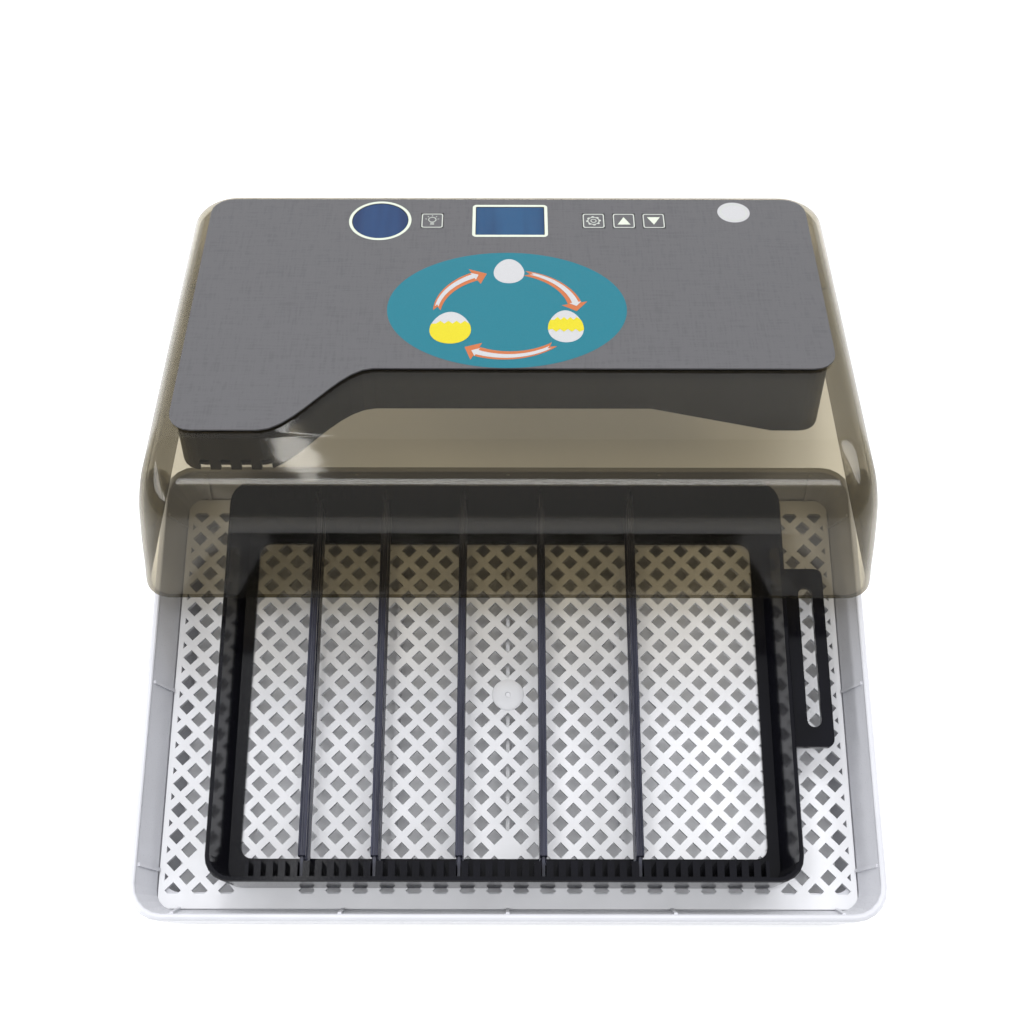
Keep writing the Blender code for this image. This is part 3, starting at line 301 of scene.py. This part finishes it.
def mesh_from(name, build, place=None):
    """A closed mesh filled by a function that works on a bmesh."""
    mesh = bpy.data.meshes.new(name)
    work = bmesh.new()
    build(work)
    bmesh.ops.remove_doubles(work, verts=work.verts, dist=0.002 * MM)
    bmesh.ops.recalc_face_normals(work, faces=work.faces)
    if place is not None:
        work.transform(place)
    work.to_mesh(mesh)
    work.free()
    return mesh


def piece(name, mesh, body, looks, smooth=35):
    """Shows a mesh as one piece that rides on a CAD body."""
    made = bpy.data.objects.new(name, mesh)
    bpy.context.scene.collection.objects.link(made)
    for look in looks:
        mesh.materials.append(LOOKS[look])
    if smooth is not None:
        mesh.shade_smooth()
        mesh.set_sharp_from_angle(angle=radians(smooth))
    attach(made, body)
    return made


def prism(work, outline, low, high, look=0):
    """A closed upright prism over an outline of (x, y) points."""
    bottom = [work.verts.new((x, y, low)) for x, y in outline]
    top = [work.verts.new((x, y, high)) for x, y in outline]
    faces = [work.faces.new(bottom[::-1]), work.faces.new(top)]
    count = len(outline)
    for k in range(count):
        n = (k + 1) % count
        faces.append(work.faces.new((bottom[k], bottom[n], top[n], top[k])))
    for face in faces:
        face.material_index = look


def band(work, outer, inner, low, high, look=0):
    """A closed flat ring between two outlines that have the same number of points."""
    loops = [
        [work.verts.new((x, y, z)) for x, y in points]
        for points, z in ((outer, low), (outer, high), (inner, high), (inner, low))
    ]
    count = len(outer)
    for first, second in zip(loops, loops[1:] + loops[:1]):
        for k in range(count):
            n = (k + 1) % count
            face = work.faces.new((first[k], first[n], second[n], second[k]))
            face.material_index = look


def ellipse(x, y, half_x, half_y, sides=96):
    return [
        (x + half_x * cos(2 * pi * k / sides), y + half_y * sin(2 * pi * k / sides))
        for k in range(sides)
    ]


def round_box(x_low, x_high, y_low, y_high, radius, steps=8):
    """Points of a rectangle with round corners, counter-clockwise."""
    corners = (
        (x_high - radius, y_high - radius, 0),
        (x_low + radius, y_high - radius, pi / 2),
        (x_low + radius, y_low + radius, pi),
        (x_high - radius, y_low + radius, 3 * pi / 2),
    )
    points = []
    for x, y, start in corners:
        for k in range(steps + 1):
            a = start + pi / 2 * k / steps
            points.append((x + radius * cos(a), y + radius * sin(a)))
    return points


def turn(work, profile, sides, centre):
    """A turned form: the profile runs from the axis round to the axis again."""
    rings = []
    for r, z in profile:
        if r == 0:
            rings.append([work.verts.new((centre.x, centre.y, centre.z + z))])
        else:
            circle = ellipse(centre.x, centre.y, r, r, sides)
            rings.append([work.verts.new((x, y, centre.z + z)) for x, y in circle])
    for first, second in zip(rings, rings[1:]):
        for k in range(sides):
            n = (k + 1) % sides
            if len(first) == 1:
                work.faces.new((first[0], second[k], second[n]))
            elif len(second) == 1:
                work.faces.new((first[k], second[0], first[n]))
            else:
                work.faces.new((first[k], second[k], second[n], first[n]))


def lid_matrix():
    """The leaning lid's own frame, from the fan's axis and the shell's points."""
    fan = next(j for j in frame["joints"] if j["name"] == "fan_spin")
    up = Vector(fan["axis"]).normalized()
    across = Vector((1, 0, 0))
    along = up.cross(across)
    points = [v.co for v in NODES["lid_shell"].data.vertices]
    origin = along * min(p.dot(along) for p in points) + up * min(p.dot(up) for p in points)
    matrix = Matrix((across, along, up)).transposed().to_4x4()
    matrix.translation = origin
    return matrix


LID = lid_matrix()
LID_INVERSE = LID.inverted()


def in_lid(node):
    """Lowest and highest corner of a CAD node in the lid's frame."""
    points = np.array([LID_INVERSE @ v.co for v in NODES[node].data.vertices])
    return Vector(points.min(0)), Vector(points.max(0))


# ---------------------------------------------------------------- base and floor

TUB_LOW, TUB_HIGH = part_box("base_tub")
GRID_LOW, GRID_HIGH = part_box("floor_grid")
FRONT = TUB_LOW.y
BOSS = Vector((0, FRONT + 120.7 * MM, GRID_HIGH.z))
HALF_PITCH = 6.87 * MM
HOLE_HALF = 4.2 * MM
LATTICE_HALF_X = 176.4 * MM
LATTICE_FRONT = FRONT + 16.0 * MM
LATTICE_REAR = FRONT + 225.4 * MM
FILLED_HOLES = ((-23, -13), (23, -13), (0, -12), (7, 13), (23, 13), (-19, -15), (-17, -15))


def lattice_cell(work, column, row):
    """One cell of the lattice: a square with two opposite corners cut by holes."""
    x, y = column * HALF_PITCH, BOSS.y + row * HALF_PITCH
    h, a = HALF_PITCH, HOLE_HALF
    if (column + row) % 2 == 0:
        shape = ((a, 0), (h, 0), (h, h - a), (h - a, h), (0, h), (0, a))
    else:
        shape = ((0, 0), (h - a, 0), (h, a), (h, h), (a, h), (0, h - a))
    work.faces.new([work.verts.new((x + u, y + v, 0)) for u, v in shape])


def fill_hole(work, column, row):
    x, y = column * HALF_PITCH, BOSS.y + row * HALF_PITCH
    a = HOLE_HALF
    shape = ((a, 0), (0, a), (-a, 0), (0, -a))
    work.faces.new([work.verts.new((x + u, y + v, 0)) for u, v in shape])


def side_strip(work, axis, at, beyond):
    """Joins the clipped edge at one side to a solid border strip."""
    line = [v for v in work.verts if abs(v.co[axis] - at) < 0.002 * MM]
    line.sort(key=lambda v: v.co[1 - axis])
    outer = []
    for v in line:
        place = v.co.copy()
        place[axis] = beyond
        outer.append(work.verts.new(place))
    for k in range(len(line) - 1):
        work.faces.new((line[k], line[k + 1], outer[k + 1], outer[k]))
    return outer


def clip(work, at, direction):
    geom = work.verts[:] + work.edges[:] + work.faces[:]
    bmesh.ops.bisect_plane(work, geom=geom, dist=1e-7, plane_co=at, plane_no=direction, clear_outer=True)


def floor_sheet(work):
    """The fine pierced floor as one sheet, clipped to its border strips."""
    columns, rows = 27, 18
    edge_inset = 0.3 * MM
    for column in range(-columns, columns):
        for row in range(-rows, rows):
            lattice_cell(work, column, row)
    for column, row in FILLED_HOLES:
        fill_hole(work, column, row)
    bmesh.ops.remove_doubles(work, verts=work.verts, dist=0.01 * MM)
    clip(work, (LATTICE_HALF_X, 0, 0), (1, 0, 0))
    clip(work, (-LATTICE_HALF_X, 0, 0), (-1, 0, 0))
    clip(work, (0, LATTICE_FRONT, 0), (0, -1, 0))
    clip(work, (0, LATTICE_REAR, 0), (0, 1, 0))
    edge_x = GRID_HIGH.x - edge_inset
    side_strip(work, 0, LATTICE_HALF_X, edge_x)
    side_strip(work, 0, -LATTICE_HALF_X, -edge_x)
    side_strip(work, 1, LATTICE_FRONT, GRID_LOW.y + edge_inset)
    side_strip(work, 1, LATTICE_REAR, GRID_HIGH.y - edge_inset)
    bmesh.ops.recalc_face_normals(work, faces=work.faces)
    for face in work.faces:
        if face.normal.z < 0:
            face.normal_flip()
    grown = bmesh.ops.extrude_face_region(work, geom=work.faces[:])["geom"]
    lifted = [item for item in grown if isinstance(item, bmesh.types.BMVert)]
    bmesh.ops.translate(work, verts=work.verts, vec=(0, 0, GRID_LOW.z))
    bmesh.ops.translate(work, verts=lifted, vec=(0, 0, GRID_HIGH.z - GRID_LOW.z))


def make_floor():
    """The lattice, and the shallow round boss in its middle."""
    mesh = mesh_from("floor_lattice", floor_sheet)
    sheet = piece("floor_lattice", mesh, "base", ["floor"], 20)
    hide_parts("floor_grid")

    def boss(work):
        dished_top = ((0, 0.25), (1.1, 0.25), (1.5, 0.9), (2.1, 1.0), (7.6, 0.8))
        profile = dished_top + ((8.5, 0.3), (8.5, -1.6), (0, -1.6))
        turn(work, [(r * MM, z * MM) for r, z in profile], 40, BOSS)

    piece("floor_boss", mesh_from("floor_boss", boss), "base", ["floor"])


# ---------------------------------------------------------------- dividers


TAB_REACH = 8.4 * MM


def divider_profile(low, high):
    """Half the cross-section of a divider, from the foot up: web, beads and a top rail."""
    return (
        (1.9, low),
        (1.9, low + 2.6),
        (0.9, low + 3.2),
        (0.9, low + 8.0),
        (1.5, low + 8.6),
        (1.5, low + 9.6),
        (0.9, low + 10.2),
        (0.9, low + 14.2),
        (1.5, low + 14.8),
        (1.5, low + 15.8),
        (0.9, low + 16.4),
        (0.9, high - 3.6),
        (1.9, high - 3.0),
        (1.9, high - 0.5),
        (1.5, high - 0.1),
        (1.05, high),
        (0.8, high - 0.55),
        (0.35, high - 0.55),
        (0.15, high - 0.05),
    )


def make_dividers():
    """Each divider is a ribbed panel with leaning ends, and a thin tab at each end."""
    for number in range(1, 6):
        node = f"divider_{number}"
        low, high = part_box(node)
        x = (low.x + high.x) / 2
        half = divider_profile(low.z / MM, high.z / MM)
        outline = [(u, z) for u, z in half] + [(-u, z) for u, z in reversed(half)]
        rail_front, rail_rear = low.y + TAB_REACH, high.y - TAB_REACH

        def build(work, x=x, outline=outline, low=low, high=high, near=rail_front, far=rail_rear):
            ends = []
            for y, sign in ((near, 1), (far, -1)):
                ring = []
                for u, z in outline:
                    lean = 0.22 * max(0.0, z - (high.z / MM - 9)) * MM
                    ring.append(work.verts.new((x + u * MM, y + sign * lean, z * MM)))
                ends.append(ring)
            count = len(outline)
            for k in range(count):
                n = (k + 1) % count
                work.faces.new((ends[0][k], ends[0][n], ends[1][n], ends[1][k]))
            work.faces.new(ends[0])
            work.faces.new(ends[1])

        def tabs(work, x=x, low=low, high=high, near=rail_front, far=rail_rear):
            for start, stop in ((low.y, near + 1.5 * MM), (far - 1.5 * MM, high.y)):
                outline = round_box(x - 0.75 * MM, x + 0.75 * MM, start, stop, 0.5 * MM, 3)
                prism(work, outline, low.z, high.z - 2.2 * MM)

        body = f"divider_{number}_body"
        mesh = mesh_from(node + "_panel", build)
        panel = piece(f"divider_panel_{number}", mesh, body, ["divider"], 30)
        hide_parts(node)
        mesh = mesh_from(node + "_tabs", tabs)
        piece(f"divider_tabs_{number}", mesh, body, ["divider"], 30)


# ---------------------------------------------------------------- lid shell

WALL = 2.3
TOP_HEIGHT = 81.8
SHOULDER_HEIGHT = 57
SHELL_RINGS = (
    # half width, front, rear, corner radius, height above the rim, all in millimetres
    (187.8, 0.2, 245.2, 15, 0.0),
    (187.7, 0.25, 245.1, 15, 2.0),
    (186.9, 0.6, 244.9, 15, 10),
    (185.9, 1.3, 244.6, 15.3, 24),
    (184.4, 2.4, 243.2, 16, 42),
    (182.6, 3.4, 241.4, 17, 57),
    (180.6, 7, 239.0, 19, 67.5),
    (177.8, 14, 235.6, 20, 74.5),
    (174.6, 24, 231.4, 20, 79.4),
    (170.6, 35, 227.0, 18, TOP_HEIGHT),
)


def smooth_rings(rings, steps):
    """More rings between the given ones, along a smooth curve through them."""
    table = np.array(rings, float)
    gaps = np.linalg.norm(np.diff(table[:, [0, 1, 4]], axis=0), axis=1)
    at = np.concatenate([[0], np.cumsum(gaps)])
    slope = np.gradient(table, at, axis=0)
    found = []
    for k in range(len(table) - 1):
        span = at[k + 1] - at[k]
        for s in np.linspace(0, 1, steps, endpoint=False):
            h00, h10 = 2 * s**3 - 3 * s**2 + 1, s**3 - 2 * s**2 + s
            h01, h11 = -2 * s**3 + 3 * s**2, s**3 - s**2
            value = h00 * table[k] + h10 * span * slope[k] + h01 * table[k + 1] + h11 * span * slope[k + 1]
            found.append(tuple(value))
    found.append(tuple(table[-1]))
    return found


def shell_outline(ring, inset):
    half, front, rear, radius, _ = ring
    return round_box(
        (-half + inset) * MM,
        (half - inset) * MM,
        (front + inset) * MM,
        (rear - inset) * MM,
        max(radius - inset, 6) * MM,
        12,
    )


def shell_wall(work):
    """The shell's outer and inner faces, its rim, and the two faces of its flat top."""
    rings = smooth_rings(SHELL_RINGS, 3)
    loops = []
    for ring in rings:
        loops.append([work.verts.new((x, y, ring[4] * MM)) for x, y in shell_outline(ring, 0)])
    inner = []
    for ring in rings:
        rise = (ring[4] - SHOULDER_HEIGHT) / (TOP_HEIGHT - SHOULDER_HEIGHT)
        height = ring[4] - WALL * min(1.0, max(0.0, rise))
        inner.append([work.verts.new((x, y, height * MM)) for x, y in shell_outline(ring, WALL)])
    loops += inner[::-1]
    count = len(loops[0])
    for first, second in zip(loops, loops[1:]):
        if first is loops[len(rings) - 1]:
            continue
        for k in range(count):
            n = (k + 1) % count
            work.faces.new((first[k], first[n], second[n], second[k]))
    for k in range(count):
        n = (k + 1) % count
        rim = work.faces.new((inner[0][k], inner[0][n], loops[0][n], loops[0][k]))
        rim.material_index = 1
    work.faces.new(loops[len(rings) - 1])
    work.faces.new(inner[-1])


def cut(target, name, build):
    """Cuts a shape, made in the lid's frame, out of a piece for good."""
    cutter = bpy.data.objects.new(name, mesh_from(name, build, LID))
    bpy.context.scene.collection.objects.link(cutter)
    step = target.modifiers.new(name, "BOOLEAN")
    step.operation = "DIFFERENCE"
    step.solver = "EXACT"
    step.object = cutter
    bpy.context.view_layer.update()
    shaped = target.evaluated_get(bpy.context.evaluated_depsgraph_get())
    mesh = bpy.data.meshes.new_from_object(shaped)
    target.modifiers.clear()
    target.data = mesh
    bpy.data.objects.remove(cutter)


def control_openings(work):
    """Through-holes for the keys, the two windows and the power inlet."""
    gap = 0.5 * MM
    under, over = 60 * MM, 90 * MM
    inside, outside = 225 * MM, 260 * MM
    for node in (*SIGNS, "display_window"):
        low, high = in_lid(node)
        outline = round_box(low.x - gap, high.x + gap, low.y - gap, high.y + gap, MM, 3)
        prism(work, outline, under, over)
    low, high = in_lid("lamp_window")
    centre = (low + high) / 2
    radius = (high.x - low.x) / 2 + gap
    prism(work, ellipse(centre.x, centre.y, radius, radius, 40), under, over)
    low, high = in_lid("power_inlet")
    outline = round_box(low.x - gap, high.x + gap, inside, outside, MM, 3)
    prism(work, outline, low.z - gap, high.z + gap)


def make_shell():
    mesh = mesh_from("lid_dome", shell_wall, LID)
    shell = piece("lid_dome", mesh, "lid", ["smoky", "smoky_edge"], None)
    cut(shell, "control_openings", control_openings)
    shell.data.shade_smooth()
    shell.data.set_sharp_from_angle(angle=radians(40))
    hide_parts("lid_shell")


# ---------------------------------------------------------------- label print

PLATE_TOP = in_lid("label_plate")[1].z
PRINT = 0.06 * MM
SUNK = 0.05 * MM
KEY_SUNK = 0.03 * MM


def print_piece(name, build, look, body="lid"):
    return piece(name, mesh_from(name, build, LID), body, [look], None)


def egg_outline(x, y, half_x, half_y, steps=48):
    """An egg with its narrow end away from the user."""
    points = []
    for k in range(steps):
        a = 2 * pi * k / steps
        narrow = 1 - 0.16 * sin(a)
        points.append((x + half_x * narrow * cos(a), y + half_y * sin(a)))
    return points


def arrow_outline(centre, radii, start, end, half, head, tail_notch):
    """A curved arrow on an ellipse: from the start angle to the tip at the end angle."""
    turn_way = 1 if end > start else -1
    body_end = end - turn_way * head
    count = 24
    outer, inner = [], []
    for k in range(count + 1):
        s = k / count
        a = radians(start + (body_end - start) * s)
        width = half * (0.55 + 0.45 * s)
        outer.append((centre[0] + (radii[0] + width) * cos(a), centre[1] + (radii[1] + width) * sin(a)))
        inner.append((centre[0] + (radii[0] - width) * cos(a), centre[1] + (radii[1] - width) * sin(a)))
    a = radians(body_end)
    barb_out = (centre[0] + (radii[0] + 1.9 * half) * cos(a), centre[1] + (radii[1] + 1.9 * half) * sin(a))
    barb_in = (centre[0] + (radii[0] - 1.9 * half) * cos(a), centre[1] + (radii[1] - 1.9 * half) * sin(a))
    tip = (centre[0] + radii[0] * cos(radians(end)), centre[1] + radii[1] * sin(radians(end)))
    a = radians(start + turn_way * tail_notch)
    notch = (centre[0] + radii[0] * cos(a), centre[1] + radii[1] * sin(a))
    return outer + [barb_out, tip, barb_in] + inner[::-1] + [notch]


OVAL = (-0.8 * MM, 129.5 * MM, 63.5 * MM, 46.5 * MM)
ARROWS = ((177, 107), (75, 2), (312, 234))
RING = (37.0 * MM, 33.5 * MM)
RING_CENTRE = (-0.9 * MM, 126.0 * MM)


def make_label_art():
    """The printed picture: a teal oval with three plain eggs and three curved arrows."""
    top = PLATE_TOP
    print_piece("print_oval", lambda work: prism(work, ellipse(*OVAL), top - SUNK, top + PRINT), "teal")

    def arrows(work):
        for start, end in ARROWS:
            outline = arrow_outline(RING_CENTRE, RING, start, end, 3.7 * MM, 11, 5)
            prism(work, outline, top, top + 2 * PRINT)

    print_piece("print_arrows", arrows, "orange")

    def shine(work):
        radii = (RING[0] + 0.5 * MM, RING[1] + 0.5 * MM)
        for start, end in ARROWS:
            way = 1 if end > start else -1
            outline = arrow_outline(RING_CENTRE, radii, start + way * 5, end - way * 7, 1.7 * MM, 5, 3)
            prism(work, outline, top, top + 3 * PRINT)

    print_piece("print_arrow_lights", shine, "white_ink")
    eggs = (
        (0.3 * MM, 160.2 * MM, 8.2 * MM, 10.2 * MM),
        (-30.4 * MM, 114 * MM, 10.6 * MM, 12.4 * MM),
        (30.0 * MM, 115.2 * MM, 9.2 * MM, 12.6 * MM),
    )

    def whites(work):
        for x, y, half_x, half_y in eggs:
            prism(work, egg_outline(x, y, half_x, half_y), top, top + 2 * PRINT)

    print_piece("print_eggs", whites, "white_ink")

    def cracked(work, x, y, half_x, half_y, low, high):
        """The part of an egg between two heights, with a jagged crack along its edges."""
        outline = []
        steps = 40
        for k in range(steps + 1):
            a = pi * k / steps - pi / 2
            yy = min(max(sin(a), low), high)
            reach = sqrt(max(0.0, 1 - yy * yy)) * (1 - 0.16 * yy)
            outline.append((reach, yy))
        right = [(x + u * half_x * 1.01, y + v * half_y * 1.01) for u, v in outline if low < v < high]
        jag = []
        for edge, sign in ((high, -1), (low, 1)):
            width = sqrt(max(0.0, 1 - edge * edge)) * (1 - 0.16 * edge)
            count = 9
            row = []
            for k in range(1, count):
                u = width * (1 - 2 * k / count) * -sign
                bite = 0.12 if k % 2 else -0.05
                row.append((x + u * half_x, y + (edge + bite) * half_y))
            jag.append(row)
        left = [(2 * x - u, v) for u, v in reversed(right)]
        if abs(low) < 1:
            prism(work, right + jag[0] + left + jag[1], top, top + 3 * PRINT)
        else:
            prism(work, right + jag[0] + left, top, top + 3 * PRINT)

    def yolks(work):
        cracked(work, *eggs[1], -1.0, 0.3)
        cracked(work, *eggs[2], -0.3, 0.45)

    print_piece("print_yolks", yolks, "yellow")


def make_control_print():
    """Pale borders round the windows, outlines and signs on the keys."""
    top = PLATE_TOP
    low, high = in_lid("lamp_window")
    centre, radius = (low + high) / 2, (high.x - low.x) / 2
    x, y = centre.x, centre.y

    def lamp_border(work):
        outer = ellipse(x, y, radius + 2.0 * MM, radius + 2.0 * MM)
        inner = ellipse(x, y, radius + 0.35 * MM, radius + 0.35 * MM)
        band(work, outer, inner, top - SUNK, top + PRINT)

    print_piece("print_lamp_border", lamp_border, "pale_ink")
    low, high = in_lid("display_window")

    def display_border(work):
        grow, near = 2.1 * MM, 0.35 * MM
        outer = round_box(low.x - grow, high.x + grow, low.y - grow, high.y + grow, 2.4 * MM)
        inner = round_box(low.x - near, high.x + near, low.y - near, high.y + near, 0.6 * MM)
        band(work, outer, inner, top - SUNK, top + PRINT)

    print_piece("print_display_border", display_border, "pale_ink")
    for key, make_sign in SIGNS.items():
        low, high = in_lid(key)
        face = high.z
        mid = ((low.x + high.x) / 2, (low.y + high.y) / 2)

        def frame_line(work, low=low, high=high, face=face):
            near, far = 0.1 * MM, 0.75 * MM
            outer = round_box(low.x + near, high.x - near, low.y + near, high.y - near, 1.3 * MM)
            inner = round_box(low.x + far, high.x - far, low.y + far, high.y - far, 0.9 * MM)
            band(work, outer, inner, face - KEY_SUNK, face + PRINT)

        print_piece(f"print_{key}_line", frame_line, "line_ink", key + "_body")
        make_sign(key, mid, face)
    mark = (127.2 * MM, 212.4 * MM)

    def round_mark(work):
        prism(work, ellipse(*mark, 9.1 * MM, 9.1 * MM), top - SUNK, top + PRINT)

    def mark_line(work):
        outer = ellipse(*mark, 7.6 * MM, 7.6 * MM)
        inner = ellipse(*mark, 7.0 * MM, 7.0 * MM)
        band(work, outer, inner, top, top + 2 * PRINT)

    print_piece("print_round_mark", round_mark, "white_ink")
    print_piece("print_mark_line", mark_line, "line_ink")


def sign_triangle(key, mid, face, way):
    x, y = mid
    half, rise = 3.6 * MM, 3.3 * MM
    outline = [(x - half, y - way * rise), (x + half, y - way * rise), (x, y + way * rise)]
    if way < 0:
        outline.reverse()

    def build(work):
        prism(work, outline, face - KEY_SUNK, face + PRINT)

    print_piece(f"print_{key}_sign", build, "pale_ink", key + "_body")


def sign_gear(key, mid, face):
    x, y = mid
    low, high = face - KEY_SUNK, face + PRINT

    def build(work):
        outer, inner = [], []
        teeth = 8
        for k in range(teeth * 4):
            a = 2 * pi * k / (teeth * 4)
            r = (4.2 if k % 4 in (0, 1) else 3.4) * MM
            outer.append((x + r * cos(a), y + r * sin(a)))
            inner.append((x + 2.9 * MM * cos(a), y + 2.9 * MM * sin(a)))
        band(work, outer, inner, low, high)
        band(work, ellipse(x, y, 1.7 * MM, 1.7 * MM, 32), ellipse(x, y, 1.2 * MM, 1.2 * MM, 32), low, high)

    print_piece(f"print_{key}_sign", build, "line_ink", key + "_body")


def sign_bulb(key, mid, face):
    x, y = mid
    low, high = face - KEY_SUNK, face + PRINT
    glass = Vector((x, y + 0.9 * MM))

    def build(work):
        outer = ellipse(*glass, 2.3 * MM, 2.3 * MM, 36)
        band(work, outer, ellipse(*glass, 1.85 * MM, 1.85 * MM, 36), low, high)
        for k in range(3):
            yy = y - (1.9 + 0.75 * k) * MM
            outline = round_box(x - 1.1 * MM, x + 1.1 * MM, yy - 0.2 * MM, yy + 0.2 * MM, 0.1 * MM, 2)
            prism(work, outline, low, high)
        for k in range(5):
            a = radians(10 + 40 * k)
            near, far = 3.0 * MM, 4.0 * MM
            across = Vector((-sin(a), cos(a))) * 0.18 * MM
            along = Vector((cos(a), sin(a)))
            corners = [
                glass + along * near - across,
                glass + along * far - across,
                glass + along * far + across,
                glass + along * near + across,
            ]
            prism(work, [tuple(c) for c in corners], low, high)

    print_piece(f"print_{key}_sign", build, "line_ink", key + "_body")


SIGNS = {
    "key_lamp": sign_bulb,
    "key_set": sign_gear,
    "key_up": lambda key, mid, face: sign_triangle(key, mid, face, 1),
    "key_down": lambda key, mid, face: sign_triangle(key, mid, face, -1),
}


# ---------------------------------------------------------------- CAD nodes' finishes

FINISH = {
    "white": ("base_tub",),
    "black": ("egg_tray", "fan_frame", "fan_rotor", "crank_disc", "power_inlet", "display_module",
              "switch_lamp", "switch_set", "switch_up", "switch_down"),
    "rubber": ("foot_front_left", "foot_front_right", "foot_rear_left", "foot_rear_right"),
    "housing": ("control_housing", "housing_cover"),
    "film": ("label_plate", "key_lamp", "key_set", "key_up", "key_down"),
    "lens": ("lamp_window",),
    "window": ("display_window",),
    "board": ("control_board", "power_board"),
    "steel": ("cover_screw_1", "cover_screw_2", "cover_screw_3", "cover_screw_4", "cover_screw_5",
              "cover_screw_6", "fan_guard", "temperature_probe", "turner_motor", "turner_shaft", "crank_pin"),
    "heater": ("heater_element",),
    "mirror": ("lamp_reflector",),
    "lamp": ("candling_lamp",),
    "tape": ("transformer",),
    "wire": ("fan_lead", "probe_lead", "motor_lead", "supply_lead"),
}


def finish_nodes():
    for look, nodes in FINISH.items():
        for name in nodes:
            node = NODES[name]
            node.data.materials.clear()
            node.data.materials.append(LOOKS[look])
            for face in node.data.polygons:
                face.material_index = 0
    # The tub's upward faces below the floor take the lighter pan white: painted light on the shaded pan under
    # the floor.
    tub = NODES["base_tub"].data
    tub.materials.append(LOOKS["pan"])
    for face in tub.polygons:
        if face.center.z < GRID_LOW.z and face.normal.z > 0.5:
            face.material_index = 1


# ---------------------------------------------------------------- studio


def leaf_lights():
    """An arc of narrow lamps round the lid's front bend, which shows them as one tall leaf."""
    centre = Vector((-0.27, -0.045, 0.12))
    reach = 1.19
    made = []
    for rise, wide in ((30, 0.02), (45, 0.045), (60, 0.055), (75, 0.045), (90, 0.02)):
        place = centre + reach * Vector((0, cos(radians(rise)), sin(radians(rise))))
        made.append((f"leaf_{rise}", place, centre, wide, 0.32, 12 * wide, "RECTANGLE"))
    return tuple(made)


def make_studio():
    ground = paper("studio_paper", (0.93, 0.93, 0.93), (0.7, 0.9))
    glow = ground.node_tree.nodes["Principled BSDF"].inputs
    glow["Emission Color"].default_value = (1, 1, 1, 1)
    glow["Emission Strength"].default_value = 0.25

    def sweep(work):
        half, reach, rise, radius = 3.2, 2.6, 2.2, 0.9
        profile = [(-2.4, 0.0), (reach - radius, 0.0)]
        for k in range(1, 13):
            a = pi / 2 * k / 12
            profile.append((reach - radius + radius * sin(a), radius - radius * cos(a)))
        profile.append((reach, rise))
        for k in range(len(profile) - 1):
            (y0, z0), (y1, z1) = profile[k], profile[k + 1]
            corners = ((-half, y0, z0), (half, y0, z0), (half, y1, z1), (-half, y1, z1))
            work.faces.new([work.verts.new(corner) for corner in corners])

    mesh = mesh_from("studio_sweep", sweep, Matrix.Translation((0, 0, -0.0003)))
    mesh.materials.append(ground)
    mesh.shade_smooth()
    sheet = bpy.data.objects.new("studio_sweep", mesh)
    bpy.context.scene.collection.objects.link(sheet)

    world = bpy.data.worlds.new("studio")
    bpy.context.scene.world = world
    world.use_nodes = True
    background = world.node_tree.nodes["Background"]
    background.inputs["Color"].default_value = (0.97, 0.98, 1.0, 1)
    background.inputs["Strength"].default_value = 0.75

    lights = (
        ("rear_box", (0.0, 0.85, 1.65), (0, 0, 0), 1.5, 0.5, 16, "RECTANGLE"),
        ("top_box", (0.0, -0.35, 1.9), (0, -0.1, 0), 1.6, 0.3, 12, "RECTANGLE"),
        ("left_strip", (-1.13, -0.27, 0.82), (-0.19, -0.03, 0.12), 1.6, 0.28, 8.0, "ELLIPSE"),
        ("right_strip", (0.93, 0.42, 0.94), (0.19, -0.03, 0.12), 1.1, 0.30, 6.0, "ELLIPSE"),
    )
    for name, place, target, wide, deep, power, shape in lights + leaf_lights():
        lamp = bpy.data.lights.new(name, "AREA")
        lamp.shape = shape
        lamp.size = wide
        lamp.size_y = deep
        lamp.energy = power
        holder = bpy.data.objects.new(name, lamp)
        bpy.context.scene.collection.objects.link(holder)
        holder.location = place
        aim = Vector(target) - Vector(place)
        holder.rotation_euler = aim.to_track_quat("-Z", "Y").to_euler()
        holder.visible_glossy = name != "rear_box"


def make_camera():
    data = bpy.data.cameras.new("camera")
    data.lens = 55.18
    data.sensor_width = 36
    camera = bpy.data.objects.new("camera", data)
    bpy.context.scene.collection.objects.link(camera)
    camera.location = (-0.0012, -0.2952, 0.8413)
    camera.rotation_euler = (radians(21.73), 0, radians(0.09))
    bpy.context.scene.camera = camera


make_camera()
make_studio()
finish_nodes()
make_floor()
make_dividers()
make_shell()
make_label_art()
make_control_print()

bpy.context.scene.view_settings.view_transform = "Standard"
bpy.context.scene.cycles.transparent_max_bounces = 16
